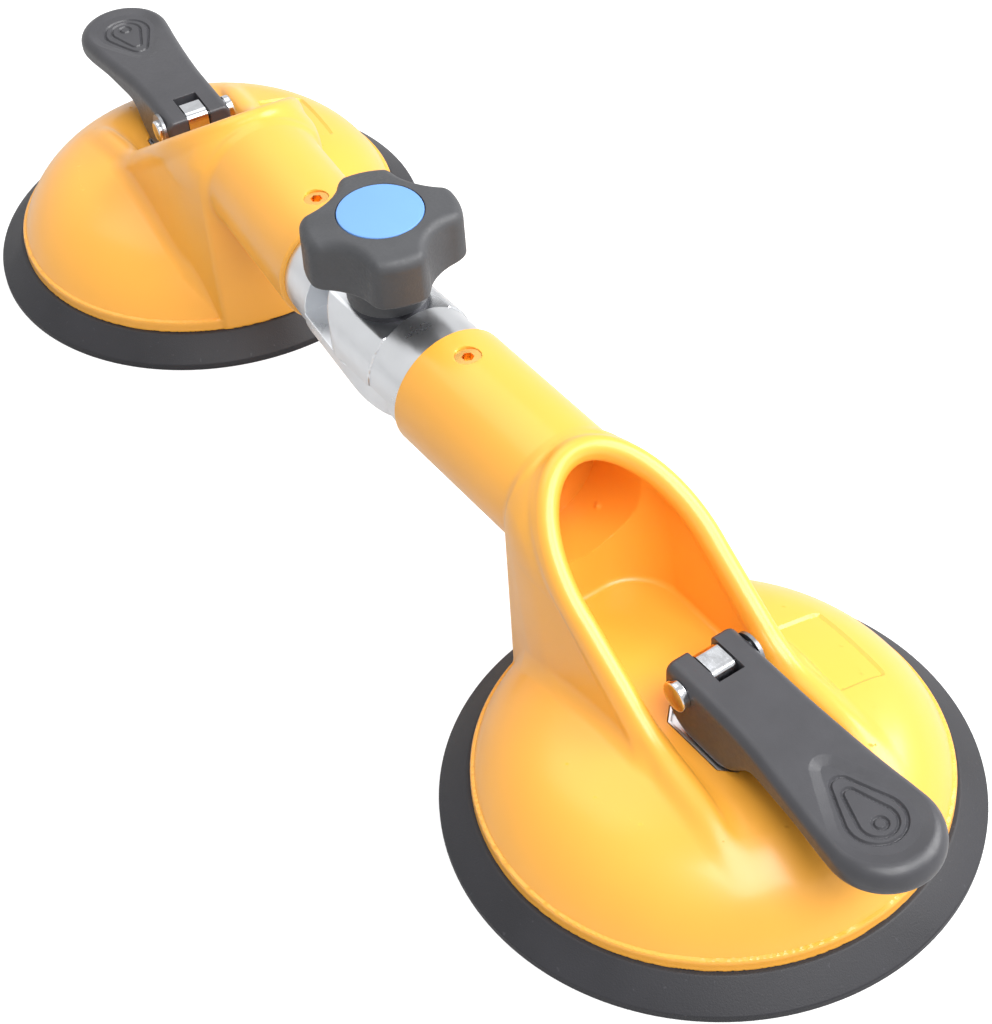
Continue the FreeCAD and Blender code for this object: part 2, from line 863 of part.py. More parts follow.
def pad_post(head):
    """Foot stud, flange, round guide and, above the wear plate, a flat tongue with a pin hole."""
    body = new_body(head + "_pad_post")
    sketch = new_sketch(body, "outline", "XZ")
    guide_top = plate_seat_z - size("free_gap")
    closed_outline(sketch, [
        (0, backing_z + size("close_fit")),
        (size("post_stud"), backing_z + size("close_fit")),
        (size("post_stud"), flange_z),
        (size("post_flange"), flange_z),
        (size("post_flange"), flange_z + size("post_flange_thickness")),
        (size("post_radius"), flange_z + size("post_flange_thickness")),
        (size("post_radius"), guide_top),
        (0, guide_top),
    ])
    turn(body, sketch, "Revolution")
    tongue = new_sketch(body, "tongue", "XY", guide_top)
    half = size("tongue_length") / 2
    closed_outline(tongue, box_corners(-half, half, -size("tongue_width") / 2,
                                       size("tongue_width") / 2))
    pad(body, tongue, size("pin_z") + size("tongue_above_pin") - guide_top)
    top = (size("pin_z") + size("tongue_above_pin")).number
    round_edges(body, lambda edge: edge.BoundBox.ZMin > top - 0.01
                and edge.BoundBox.XLength < 0.01, size("tongue_round"))
    hole = new_sketch(body, "pin_hole", "XZ")
    circle_outline(hole, size("pin_x"), size("pin_z"), size("pin_radius") + size("running_fit"))
    pocket(body, hole, size("tongue_width") * 3, symmetric=True)
    put_on_head(body, head)
    return finish(head + "_pad_post", body)


def return_spring(head):
    """Open coil between the backing plate and the housing's ceiling, in short straight runs."""
    wire = size("spring_wire")
    low = (flange_z + wire + size("seat_gap")).number
    high = (size("ceiling_z") - wire - size("seat_gap")).number
    radius = DRIVING_SIZES["spring_radius"]
    runs = round(DRIVING_SIZES["spring_turns"] * 12)
    points = []
    for step in range(runs + 1):
        angle = math.radians(30 * step)
        points.append(FreeCAD.Vector(radius * math.cos(angle), radius * math.sin(angle),
                                     low + (high - low) * step / runs))
    spring = bent_bar(head + "_return_spring", points, (6, wire))
    put_on_head(spring, head)
    return finish(head + "_return_spring", spring)


def wear_plate(head):
    """Hardened plate under the cam, forked round the post's tongue."""
    body = new_body(head + "_wear_plate")
    sketch = new_sketch(body, "outline", "XY", plate_seat_z)
    slot = size("tongue_width") / 2 + size("free_gap")
    slot_end = size("tongue_length") / 2 + size("free_gap")
    outline = plate_outline(as_size(0))
    inner = -size("plate_inner")
    closed_outline(sketch, outline + [(inner, slot), (slot_end, slot), (slot_end, -slot),
                                      (inner, -slot)])
    pad(body, sketch, size("plate_thickness"))
    put_on_head(body, head)
    return finish(head + "_wear_plate", body)


# ------------------------------------------------------------------ lever and its pin

pin_x = size("pin_x")
pin_z = size("pin_z")
lever_half = size("lever_width") / 2
cam_height = pin_z - size("plate_top")
cam_rate = size("pad_lift") / as_size(math.pi / 2)


def cam_point(angle):
    """A point of the heel that holds the pin's height in step with the lever's angle."""
    height = cam_height - cam_rate * math.radians(angle) - size("cam_gap")
    return (pin_x - height * sine(angle) + cam_rate * cosine(angle),
            pin_z - height * cosine(angle) - cam_rate * sine(angle))


def cam_curve(angle):
    return cam_height - cam_rate * math.radians(angle) - size("cam_gap")


def lever_profile():
    steps = [90, 67.5, 45, 22.5, 0]
    outline = []
    for first, last in zip(steps, steps[1:]):
        x, z = cam_point(first)
        outline.append((x, z, cam_curve((first + last) / 2)))
    bottom = cam_point(0)
    outline.append(bottom)
    heel_x = pin_x + size("lever_heel")
    outline.append((heel_x, bottom[1], size("heel_round")))
    outline.append((size("neck_x") - size("heel_rise"), size("neck_bottom") - size("heel_drop"),
                    -size("neck_round")))
    outline.append((size("neck_x"), size("neck_bottom")))
    outline.append((size("thumb_x") - size("thumb_radius"), size("neck_bottom"),
                    -size("neck_round")))
    outline.append((size("thumb_x") - size("thumb_radius") / 2, size("thumb_bottom")))
    tip = size("thumb_x") + size("thumb_radius")
    outline.append((tip, size("thumb_bottom")))
    outline.append((tip, size("thumb_top")))
    outline.append((size("thumb_x") - size("thumb_radius"), size("thumb_top"),
                    size("lever_top_curve")))
    outline.append((cam_point(90)[0], size("lever_top")))
    return outline


def lever(head):
    body = new_body(head + "_lever")
    profile = new_sketch(body, "profile", "XZ")
    closed_outline(profile, lever_profile())
    pad(body, profile, size("thumb_radius") * 2, symmetric=True)
    plan = new_sketch(body, "plan", "XY", 0)
    inner = cam_point(90)[0] - 1
    thumb = size("thumb_radius")
    thumb_x = size("thumb_x")
    run = thumb_x - size("neck_start")
    span = run * run + lever_half * lever_half
    tangent = root(span - thumb * thumb)
    meet_x = size("neck_start") + tangent * (run * tangent + lever_half * thumb) / span
    meet_y = lever_half - tangent * (lever_half * tangent - run * thumb) / span
    far = thumb * 2
    closed_outline(plan, box_corners(inner - 1, thumb_x + far, -far, far))
    closed_outline(plan, [
        (inner, -lever_half),
        (size("neck_start"), -lever_half),
        (meet_x, -meet_y, thumb),
        (thumb_x + thumb, 0, thumb),
        (meet_x, meet_y),
        (size("neck_start"), lever_half),
        (inner, lever_half),
    ])
    pocket(body, plan, well_above, reversed_=True)
    crest = size("thumb_bottom").number + 1
    bevel_edges(body, lambda edge: edge.BoundBox.ZMin > crest and edge.BoundBox.YLength < far.number
                and edge.BoundBox.XLength > 1 and edge.BoundBox.ZLength > 0.001
                and edge.BoundBox.ZMax > size("thumb_top").number - 0.01, size("lever_bevel"))
    slot = new_sketch(body, "slot", "XY", 0)
    half = size("lever_slot") / 2
    closed_outline(slot, box_corners(inner, size("lever_slot_end"), -half, half))
    pocket(body, slot, well_above, reversed_=True)
    hole = new_sketch(body, "pin_hole", "XZ")
    circle_outline(hole, pin_x, pin_z, size("pin_radius") + size("running_fit"))
    pocket(body, hole, size("lever_width") * 3, symmetric=True)
    put_on_head(body, head)
    return finish(head + "_lever", body)


def lever_pin(head):
    """Round pin with a flat head, and a groove for its retaining ring at the other end."""
    body = new_body(head + "_lever_pin")
    side = lever_half + size("seat_gap")
    shaft = new_sketch(body, "shaft", "XZ", -lever_half - size("pin_tail"))
    circle_outline(shaft, pin_x, pin_z, size("pin_radius"))
    pad(body, shaft, side + lever_half + size("pin_tail"))
    flat = new_sketch(body, "head", "XZ", side)
    circle_outline(flat, pin_x, pin_z, size("pin_head"))
    pad(body, flat, size("pin_head_thickness"))
    groove = new_sketch(body, "groove", "XZ", -side)
    circle_outline(groove, pin_x, pin_z, size("pin_radius") * 2)
    circle_outline(groove, pin_x, pin_z, size("clip_groove"))
    pocket(body, groove, size("clip_thickness"))
    end_y = (side + size("pin_head_thickness")).number
    bevel_edges(body, lambda edge: edge.BoundBox.YMax < 0.01 - end_y, size("small_round"))
    put_on_head(body, head)
    return finish(head + "_lever_pin", body)


def pin_clip(head):
    """Open retaining ring in the pin's groove."""
    body = new_body(head + "_pin_clip")
    start = lever_half + size("seat_gap")
    sketch = new_sketch(body, "outline", "XZ", -start - size("clip_thickness"))
    circle_outline(sketch, pin_x, pin_z, size("clip_radius"))
    circle_outline(sketch, pin_x, pin_z, size("clip_groove"))
    pad(body, sketch, size("clip_thickness"))
    gap = new_sketch(body, "opening", "XZ")
    half = size("clip_groove") / 2
    closed_outline(gap, box_corners(pin_x - half, pin_x + half, pin_z - size("clip_radius") - 1,
                                    pin_z))
    pocket(body, gap, size("lever_width") * 3, symmetric=True)
    put_on_head(body, head)
    return finish(head + "_pin_clip", body)


def grub_screw(head):
    body = new_body(head + "_grub_screw")
    top = axis_z + size("tube_radius") - size("grub_sink")
    sketch = new_sketch(body, "outline", "XY", top - size("grub_length"))
    circle_outline(sketch, -size("grub_x"), 0, size("grub_radius"))
    pad(body, sketch, size("grub_length"))
    socket = new_sketch(body, "socket", "XY", top - size("grub_length") / 2)
    across = size("grub_socket")
    corners = [(across * cosine(60 * step) - size("grub_x"), across * sine(60 * step))
               for step in range(6)]
    closed_outline(socket, corners)
    pocket(body, socket, size("grub_length"), reversed_=True)
    put_on_head(body, head)
    return finish(head + "_grub_screw", body)


# ----------------------------------------------------------------- half-lap swivel joint

barrel = size("barrel_radius")
half_gap = size("lap_gap") / 2
flat_z = axis_z + size("flat_height")
knob_z = flat_z + size("washer_thickness")
head_seat_z = axis_z - barrel + size("stud_head_sink") + size("stud_head_thickness")
grub_foot_z = axis_z + size("tube_radius") - size("grub_sink") - size("grub_length")


def knuckle(head, reach, upper, collar_x, angle):
    """One leaf of the lap joint, its collar, and the spigot that goes into the tube."""
    body = new_body(head + "_knuckle")
    tube_x = reach - size("tube_end")
    lap = size("lap_shoulder")
    leaf = new_sketch(body, "leaf", "YZ", -barrel)
    circle_outline(leaf, 0, axis_z, barrel)
    pad(body, leaf, collar_x + barrel)
    collar = new_sketch(body, "collar", "YZ", collar_x)
    circle_outline(collar, 0, axis_z, size("collar_radius"))
    pad(body, collar, tube_x - collar_x)
    spigot = new_sketch(body, "spigot", "YZ", tube_x)
    circle_outline(spigot, 0, axis_z, size("spigot_radius"))
    pad(body, spigot, size("spigot_length"))
    sign = 1 if upper else -1
    face = axis_z + sign * half_gap
    away = axis_z - sign * barrel * 2
    low, high = (away, face) if upper else (face, away)
    opposite = new_sketch(body, "lap", "XZ")
    closed_outline(opposite, box_corners(-barrel - 1, lap, low, high))
    pocket(body, opposite, barrel * 3, symmetric=True)
    if upper:
        level = new_sketch(body, "flat", "XZ")
        closed_outline(level, box_corners(-barrel - 1, size("flat_shoulder"), flat_z,
                                          axis_z + barrel * 2))
        pocket(body, level, barrel * 3, symmetric=True)
    nose = new_sketch(body, "nose", "XY")
    closed_outline(nose, [
        (0, -barrel - 1),
        (0, -barrel, -barrel),
        (-barrel, 0, -barrel),
        (0, barrel),
        (0, barrel + 1),
        (-barrel - 1, barrel + 1),
        (-barrel - 1, -barrel - 1),
    ])
    pocket(body, nose, well_above, reversed_=True)
    pivot = new_sketch(body, "pivot", "XY")
    if upper:
        circle_outline(pivot, 0, 0, size("bush_radius"))
        pocket(body, pivot, well_above, reversed_=True)
    else:
        circle_outline(pivot, 0, 0, size("stud_radius") + size("running_fit"))
        pocket(body, pivot, well_above, reversed_=True)
        counterbore = new_sketch(body, "counterbore", "XY")
        circle_outline(counterbore, 0, 0, size("stud_head") + size("close_fit"))
        pocket(body, counterbore, head_seat_z, reversed_=True)
    dimple = new_sketch(body, "dimple", "XY", grub_foot_z)
    circle_outline(dimple, reach - size("grub_x"), 0, size("grub_radius") + size("close_fit"))
    pocket(body, dimple, barrel, reversed_=True)
    put_on_joint(body, angle)
    return finish(head + "_knuckle", body)


def pivot_stud():
    body = new_body("pivot_stud")
    sketch = new_sketch(body, "outline", "XZ")
    radius = size("stud_radius")
    tip = size("stud_top")
    closed_outline(sketch, [
        (0, head_seat_z - size("stud_head_thickness")),
        (size("stud_head"), head_seat_z - size("stud_head_thickness")),
        (size("stud_head"), head_seat_z),
        (radius, head_seat_z),
        (radius, tip - size("small_round")),
        (radius - size("small_round"), tip),
        (0, tip),
    ])
    turn(body, sketch, "Revolution")
    put_on_joint(body, 180 - bend)
    return finish("pivot_stud", body)


def ring(label, low, high, inner, outer):
    """A plain ring about the swivel axis."""
    body = new_body(label)
    sketch = new_sketch(body, "outline", "XY", low)
    circle_outline(sketch, 0, 0, outer)
    circle_outline(sketch, 0, 0, inner)
    pad(body, sketch, high - low)
    put_on_joint(body)
    return finish(label, body)


def knob_outline():
    """Four broad lobes with hollow flanks between them and rounded corners."""
    lobe = size("knob_lobe")
    valley = size("knob_valley_curve")
    corner = size("knob_round")
    half = 45 - size("knob_lobe_angle") / 2
    across = lobe * sine(half)
    valley_x = lobe * cosine(half) + root(valley * valley - across * across)
    near = lobe - corner
    far = valley + corner
    corner_x = (near * near + valley_x * valley_x - far * far) / (valley_x * 2)
    corner_y = root(near * near - corner_x * corner_x)
    lobe_x = corner_x * lobe / near
    lobe_y = corner_y * lobe / near
    flank_x = valley_x + (corner_x - valley_x) * valley / far
    flank_y = corner_y * valley / far
    outline = []
    for quarter in range(4):
        middle = 90 * quarter + 45 + size("knob_turn")
        run, rise = cosine(middle), sine(middle)
        for x, y, radius in ((lobe_x, -lobe_y, corner), (flank_x, -flank_y, -valley),
                             (flank_x, flank_y, corner), (lobe_x, lobe_y, lobe)):
            outline.append((x * run - y * rise, x * rise + y * run, radius))
    return outline


def knob_body():
    body = new_body("knob_body")
    star = new_sketch(body, "star", "XY", size("knob_bottom"))
    closed_outline(star, knob_outline())
    pad(body, star, size("knob_top") - size("knob_bottom"))
    reach = size("knob_lobe") + 1
    top = size("knob_top")
    near = size("cap_radius") + size("cap_gap") * 3
    slope = new_sketch(body, "slope", "XZ")
    closed_outline(slope, [
        (near, top),
        (size("knob_lobe") - size("knob_bevel"), size("knob_shoulder")),
        (reach, size("knob_shoulder") - size("knob_bevel") - 1),
        (reach, top + 1),
        (near, top + 1),
    ])
    turn(body, slope, "Groove")
    under = new_sketch(body, "underside", "XZ")
    closed_outline(under, [
        (size("knob_hub"), size("knob_bottom") - 1),
        (reach, size("knob_bottom") - 1),
        (reach, size("knob_bottom") + size("knob_under")),
        (size("knob_hub"), size("knob_bottom")),
    ])
    turn(body, under, "Groove")
    hub = new_sketch(body, "hub", "XY", knob_z)
    circle_outline(hub, 0, 0, size("knob_hub"))
    pad(body, hub, size("knob_bottom") - knob_z + size("knob_under"))
    socket = new_sketch(body, "insert_socket", "XY", knob_z)
    circle_outline(socket, 0, 0, size("insert_radius"))
    pocket(body, socket, size("insert_length") + size("free_gap"), reversed_=True)
    bore = new_sketch(body, "bore", "XY", knob_z)
    circle_outline(bore, 0, 0, size("stud_radius") + size("free_gap"))
    pocket(body, bore, size("knob_bore_depth"), reversed_=True)
    seat = new_sketch(body, "cap_seat", "XY", top - size("cap_height") + size("cap_proud"))
    circle_outline(seat, 0, 0, size("cap_radius") + size("cap_gap"))
    pocket(body, seat, size("cap_height") * 2, reversed_=True)
    put_on_joint(body)
    return finish("knob_body", body)


def knob_cap():
    """Snap-in disc with a bevelled edge."""
    body = new_body("knob_cap")
    top = size("knob_top") + size("cap_proud")
    sketch = new_sketch(body, "outline", "XY", top - size("cap_height"))
    circle_outline(sketch, 0, 0, size("cap_radius"))
    pad(body, sketch, size("cap_height"))
    bevel_edges(body, lambda edge: edge.BoundBox.ZMin > top.number - 0.01, size("cap_bevel"))
    put_on_joint(body)
    return finish("knob_cap", body)


# --------------------------------------------------------------------------- assembly

for which in HEADS:
    housing(which)
    rubber_pad(which)
    backing_plate(which)
    pad_post(which)
    return_spring(which)
    wear_plate(which)
    lever(which)
    lever_pin(which)
    pin_clip(which)
    grub_screw(which)
knuckle("front", size("front_reach"), True, size("flat_shoulder"), as_size(0))
knuckle("rear", size("rear_reach"), False, size("lap_shoulder"), 180 - bend)
pivot_stud()
bore_radius = size("stud_radius") + size("running_fit")
ring("pivot_bush", axis_z + half_gap, flat_z, bore_radius, size("bush_radius"))
ring("clamp_washer", flat_z, knob_z, size("stud_radius") + size("free_gap"),
     size("washer_radius"))
knob_body()
ring("knob_insert", knob_z + size("free_gap"), knob_z + size("free_gap") + size("insert_length"),
     bore_radius, size("insert_radius"))
knob_cap()

doc.recompute()
for item in doc.Objects:
    if "Invalid" in item.State or "Error" in item.State:
        raise RuntimeError("%s did not build" % item.Name)

os.makedirs("parts", exist_ok=True)
for label, item in parts.items():
    if item.Shape.isNull() or not item.Shape.isValid():
        raise RuntimeError("%s has no sound shape" % label)
    item.Shape.exportStep(os.path.join("parts", label + ".step"))
    print("%-22s solids %d  volume %10.1f mm3" % (label, len(item.Shape.Solids), item.Shape.Volume))
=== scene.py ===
import json
import math

import bmesh
import bpy
import numpy as np
from mathutils import Matrix, Vector


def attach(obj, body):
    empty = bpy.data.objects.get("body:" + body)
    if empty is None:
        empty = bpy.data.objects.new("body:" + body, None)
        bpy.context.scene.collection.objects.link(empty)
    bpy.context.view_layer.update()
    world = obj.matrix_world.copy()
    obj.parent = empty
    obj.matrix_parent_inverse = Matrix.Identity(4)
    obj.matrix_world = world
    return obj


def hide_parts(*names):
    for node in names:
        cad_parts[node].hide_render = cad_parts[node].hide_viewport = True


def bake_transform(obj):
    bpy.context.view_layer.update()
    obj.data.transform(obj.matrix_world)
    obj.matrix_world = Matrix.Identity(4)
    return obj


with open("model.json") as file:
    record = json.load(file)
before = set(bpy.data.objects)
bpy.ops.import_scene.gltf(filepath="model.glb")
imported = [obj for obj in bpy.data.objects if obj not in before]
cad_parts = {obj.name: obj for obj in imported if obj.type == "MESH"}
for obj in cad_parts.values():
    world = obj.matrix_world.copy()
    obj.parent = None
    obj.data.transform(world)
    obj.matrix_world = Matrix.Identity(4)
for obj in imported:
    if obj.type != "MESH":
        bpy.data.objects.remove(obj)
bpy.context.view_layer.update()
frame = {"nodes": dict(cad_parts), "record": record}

# Pieces are shaped in millimetres.  A head's own frame has its origin under the cup's centre, +X
# away from the swivel and +Z up; the swivel's frame has its origin under the swivel.  Names that
# end in _X, _Y or _Z are places in these frames.
MM = 0.001
HEADS = ("front", "rear")
JOINTS = {joint["name"]: joint for joint in frame["record"]["behaviour"]["joints"]}
AXIS_Z = JOINTS["arm_swivel"]["pos_m"][2] / MM      # height of both tubes' axes
PIN_X, PIN_Z = 0.4, 39.0                            # the lever's pin, as in the solids


# ------------------------------------------------------------------ where things stand

def placement(origin, along):
    """Matrix from millimetres in an upright local frame to the frame's metres."""
    along = Vector(along).normalized()
    across = Vector((0.0, 0.0, 1.0)).cross(along)
    matrix = Matrix((along, across, (0.0, 0.0, 1.0))).transposed().to_4x4()
    matrix.translation = Vector((origin[0], origin[1], 0.0))
    return matrix @ Matrix.Scale(MM, 4)


def head_placement(head):
    """Where a head stands, from its lever's pin."""
    joint = JOINTS[head + "_lever_turn"]
    along = Vector(joint["axis"]).cross((0.0, 0.0, -1.0))
    pin = Vector(joint["pos_m"])
    return placement(pin - along * PIN_X * MM, along)


def swivel_placement(along=(1.0, 0.0, 0.0)):
    """The swivel's frame, or one there that is turned to point along an arm."""
    return placement(JOINTS["arm_swivel"]["pos_m"], along)


PLACES = {head: head_placement(head) for head in HEADS}


# -------------------------------------------------------------------- fields in space
# A field is a signed distance, or near one: below zero inside.

def fuse(first, second, radius):
    """Both shapes, with a fillet where they meet; the radius may vary from place to place."""
    corner = np.hypot(np.maximum(radius - first, 0.0), np.maximum(radius - second, 0.0))
    return np.maximum(radius, np.minimum(first, second)) - corner


def melt(first, second, width):
    """Both shapes, run into each other where they nearly line up."""
    near = np.maximum(width - np.abs(first - second), 0.0) / width
    return np.minimum(first, second) - near * near * width / 4


def common(first, second, radius=0.0):
    """What both shapes share, with rounded edges."""
    if not np.any(radius):
        return np.maximum(first, second)
    corner = np.hypot(np.maximum(radius + first, 0.0), np.maximum(radius + second, 0.0))
    return np.minimum(-radius, np.maximum(first, second)) + corner


def cut(first, second, radius=0.0):
    """The first shape less the second, with rounded edges."""
    return common(first, -second, radius)


def span(value, low, high):
    """A slab between two values."""
    return np.maximum(low - value, value - high)


def crossings(field, values, low, cell, axis):
    """Where the surface crosses the grid's lines along one axis."""
    count = values.shape[axis] - 1
    near = values.take(range(count), axis)
    far = values.take(range(1, count + 1), axis)
    places = np.argwhere((near < 0) != (far < 0))
    near, far = near[tuple(places.T)], far[tuple(places.T)]
    step = np.eye(3)[axis]
    part = near / (near - far)
    points = low + cell * (places + part[:, None] * step)
    middle = field(*points.T)
    same = (middle < 0) == (near < 0)
    with np.errstate(divide="ignore", invalid="ignore"):
        part = np.where(same, part + (1 - part) * middle / (middle - far),
                        part * near / (near - middle))
    part = np.clip(np.nan_to_num(part, nan=0.5), 0.0, 1.0)
    return places, near < 0, low + cell * (places + part[:, None] * step)


def gradients(field, points, reach=0.02):
    """Unit normals of a field."""
    slopes = [field(*(points + reach * step).T) - field(*(points - reach * step).T)
              for step in np.eye(3)]
    slopes = np.stack(slopes, 1)
    return slopes / np.maximum(np.linalg.norm(slopes, axis=1, keepdims=True), 1e-9)


PULL_TO_MEAN = 0.04             # keeps the point of a nearly flat cell in the middle
SMOOTH_AGREEMENT = 0.955        # normals that agree this well belong to no edge


def surface(field, low, high, cell):
    """Dual contouring of a field: points, four-sided faces and the normal at each face corner."""
    low = np.array(low, float)
    counts = [int(math.ceil((top - bottom) / cell)) + 1 for bottom, top in zip(low, high)]
    lines = [low[axis] + cell * np.arange(counts[axis]) for axis in range(3)]
    values = field(*np.meshgrid(*lines, indexing="ij"))
    strides = np.array([counts[1] * counts[2], counts[2], 1])
    keys, points, normals, quads, flips = [], [], [], [], []
    for axis in range(3):
        places, inward, crossing = crossings(field, values, low, cell, axis)
        slopes = gradients(field, crossing)
        steps = np.eye(3, dtype=int)
        second, third = steps[(axis + 1) % 3], steps[(axis + 2) % 3]
        around = [places, places - second, places - second - third, places - third]
        around = np.stack([corner @ strides for corner in around], 1)
        quads.append(around)
        flips.append(inward)
        for corner in range(4):
            keys.append(around[:, corner])
            points.append(crossing)
            normals.append(slopes)
    keys, points, normals = np.concatenate(keys), np.concatenate(points), np.concatenate(normals)
    cells, index = np.unique(keys, return_inverse=True)

    def total(weights):
        return np.bincount(index, weights, len(cells))

    number = total(np.ones(len(index)))
    mean = np.stack([total(points[:, axis]) for axis in range(3)], 1) / number[:, None]
    pull = (normals * (points - mean[index])).sum(1)
    matrix = np.zeros((len(cells), 3, 3))
    for row in range(3):
        for column in range(3):
            matrix[:, row, column] = total(normals[:, row] * normals[:, column])
    matrix += np.eye(3) * PULL_TO_MEAN * number[:, None, None]
    right = np.stack([total(normals[:, axis] * pull) for axis in range(3)], 1)
    offset = np.linalg.solve(matrix, right[:, :, None])[:, :, 0]
    corner = np.stack(np.unravel_index(cells, counts), 1)
    base = low + cell * corner
    vertices = np.clip(mean + offset, base, base + cell)
    spread = np.stack([total(normals[:, axis]) for axis in range(3)], 1)
    smooth = np.linalg.norm(spread, axis=1) / number > SMOOTH_AGREEMENT

    faces = np.searchsorted(cells, np.concatenate(quads))
    flips = np.concatenate(flips)
    faces[~flips] = faces[~flips][:, ::-1]
    corners = vertices[faces]
    flat = np.cross(corners[:, 2] - corners[:, 0], corners[:, 3] - corners[:, 1])
    flat /= np.maximum(np.linalg.norm(flat, axis=1, keepdims=True), 1e-12)
    shading = np.where(smooth[faces][:, :, None], gradients(field, vertices)[faces],
                       flat[:, None, :])
    return vertices, faces, shading.reshape(-1, 3)


def place_surface(name, shape, matrix, material):
    """A surface as a mesh object with its own corner normals; a mirrored one is turned back."""
    vertices, faces, shading = shape
    turn = np.array(matrix)[:3, :3]
    if np.linalg.det(turn) < 0.0:
        faces, shading = faces[:, ::-1], shading.reshape(-1, 4, 3)[:, ::-1].reshape(-1, 3)
    mesh = bpy.data.meshes.new(name)
    mesh.from_pydata((vertices @ turn.T + np.array(matrix)[:3, 3]).tolist(), [], faces.tolist())
    mesh.polygons.foreach_set("use_smooth", np.ones(len(faces), bool))
    shading = shading @ turn.T
    shading /= np.linalg.norm(shading, axis=1, keepdims=True)
    mesh.normals_split_custom_set(shading.tolist())
    mesh.update()
    mesh.materials.append(material)
    item = bpy.data.objects.new(name, mesh)
    bpy.context.scene.collection.objects.link(item)
    return item


# --------------------------------------------------------------------- turned shapes

def rounded_outline(corners, steps=6):
    """A closed outline with its corners rounded: corners are (x, z, radius)."""
    outline = []
    for index, (x, z, radius) in enumerate(corners):
        here = Vector((x, z))
        if not radius:
            outline.append(here)
            continue
        before = (Vector(corners[index - 1][:2]) - here).normalized()
        after = (Vector(corners[(index + 1) % len(corners)][:2]) - here).normalized()
        half = math.acos(max(-1.0, min(1.0, before.dot(after)))) / 2
        centre = here + (before + after).normalized() * radius / math.sin(half)
        first = here + before * radius / math.tan(half) - centre
        last = here + after * radius / math.tan(half) - centre
        sweep = first.angle_signed(last)
        for step in range(steps + 1):
            turned = first.copy()
            turned.rotate(Matrix.Rotation(-sweep * step / steps, 2))
            outline.append(centre + turned)
    return outline


def turned(name, outline, matrix, material, sides=128, start=0.0, sweep=math.tau):
    """An outline (radius, height) turned about the local Z axis; part of a turn is capped."""
    whole = sweep > math.tau - 1e-6
    rings = sides if whole else sides + 1
    count = len(outline)
    points = []
    for ring in range(rings):
        angle = start + sweep * ring / sides
        for radius, height in outline:
            points.append(matrix @ Vector((radius * math.cos(angle), radius * math.sin(angle),
                                           height)))
    faces = []
    for ring in range(sides):
        here, there = ring * count, (ring + 1) % rings * count
        for spot in range(count):
            after = (spot + 1) % count
            faces.append((here + spot, there + spot, there + after, here + after))
    if not whole:
        faces.append(tuple(range(count)))
        faces.append(tuple(range(sides * count, (sides + 1) * count))[::-1])
    item = mesh_object(name, points, faces)
    finish_mesh(item, material)
    return item


def mesh_object(name, points, faces):
    """A new object in the scene, without a material yet."""
    mesh = bpy.data.meshes.new(name)
    mesh.from_pydata(points, [], faces)
    item = bpy.data.objects.new(name, mesh)
    bpy.context.scene.collection.objects.link(item)
    return item


CREASE = math.radians(35.0)


def finish_mesh(item, material):
    """Merge what coincides, point the faces outwards, and shade smooth between creases."""
    shape = bmesh.new()
    shape.from_mesh(item.data)
    bmesh.ops.remove_doubles(shape, verts=shape.verts, dist=1e-7)
    bmesh.ops.dissolve_degenerate(shape, edges=shape.edges, dist=1e-8)
    bmesh.ops.recalc_face_normals(shape, faces=shape.faces)
    shape.to_mesh(item.data)
    shape.free()
    item.data.shade_smooth()
    item.data.set_sharp_from_angle(angle=CREASE)
    item.data.materials.append(material)


# ---------------------------------------------------------------------- the casting

RIM_Z = 7.4                                 # the casting's foot
RIM_RADIUS = 52.6
BAND_TOP_Z = 10.6                           # the raised band round the foot ends here
CROWN_RADIUS, CROWN_Z = 122.0, -90.5        # the dome's broad crown and its centre's height
SHOULDER_RADIUS = 27.5                      # the tighter curve outside the crown
SHOULDER_X, SHOULDER_Z = 26.19, 0.33        # where that curve has its centre
TANGENT_X, TANGENT_Z = 7.81, 26.34          # direction in which the two curves meet
CROWN_EDGE = 34.0                           # cup centre to where the shoulder takes over
RIM_SLOPE = math.radians(36.0)              # how steeply the hood's rim falls to the cup
RIM_TOP_X, RIM_TOP_Z = -48.5, 67.6          # a point of the rim's plane
ARCH_Z = 49.0                               # centre of the hood's round top
HOOD_RADIUS, HOOD_DRAFT = 19.8, 0.09
HOOD_REACH = 53.1                           # the hood's leg stands this far from the cup's centre
FLARE_COSINE, FLARE_SINE = 0.9626, 0.2709   # the leg's sides widen towards the cup
FLARE_X, FLARE_Y = -50.24, 17.2
TAPER_COSINE, TAPER_SINE = 0.894, 0.447     # the hood's back draws in towards the tube
TAPER_X, TAPER_RADIUS = -53.0, 17.4
LIP_RADIUS = 2.7
LIP_ACROSS = 17.9                           # from the hood's middle to the lip's centre line
TAIL_Y = 18.8                               # where the lip's tails lie on the dome
FLOOR_Z = 27.8                              # floor of the pocket
POCKET_RADIUS, POCKET_DRAFT = 15.9, 0.052
POCKET_END_X, POCKET_LEAN = -42.0, 0.22
TUBE_RADIUS = 15.55
TUBE_END_X, TUBE_ROOT_X = -95.1, -50.5
SOCKET_RADIUS, SOCKET_END_X = 12.8, -70.1
GRUB_RADIUS, GRUB_X = 3.05, -86.5
LABEL_X, LABEL_Y = (-8.1, 13.5), (23.6, 36.8)
LABEL_DEPTH, LABEL_STEP = 0.6, 0.8          # how deep its blank recess is, and its edge's width
INSIDE_RADIUS, CEILING_Z = 48.7, 22.4
SLANT_COSINE, SLANT_SINE, SLANT_Z = 0.532, 0.847, 9.4
BOSS_RADIUS, BOSS_Z = 9.0, 16.4
POST_BORE = 5.45
SEAT_Z = 25.8
SEAT_X, SEAT_HALF = (-5.8, 16.8), 10.2
SEAT_FRONT_CUT, SEAT_BACK_CUT = 24.0, 12.9  # where the cut corners' lines meet the middle line
TROUGH_HALF, TROUGH_FLARE, TROUGH_X = 14.6, 0.12, -4.0
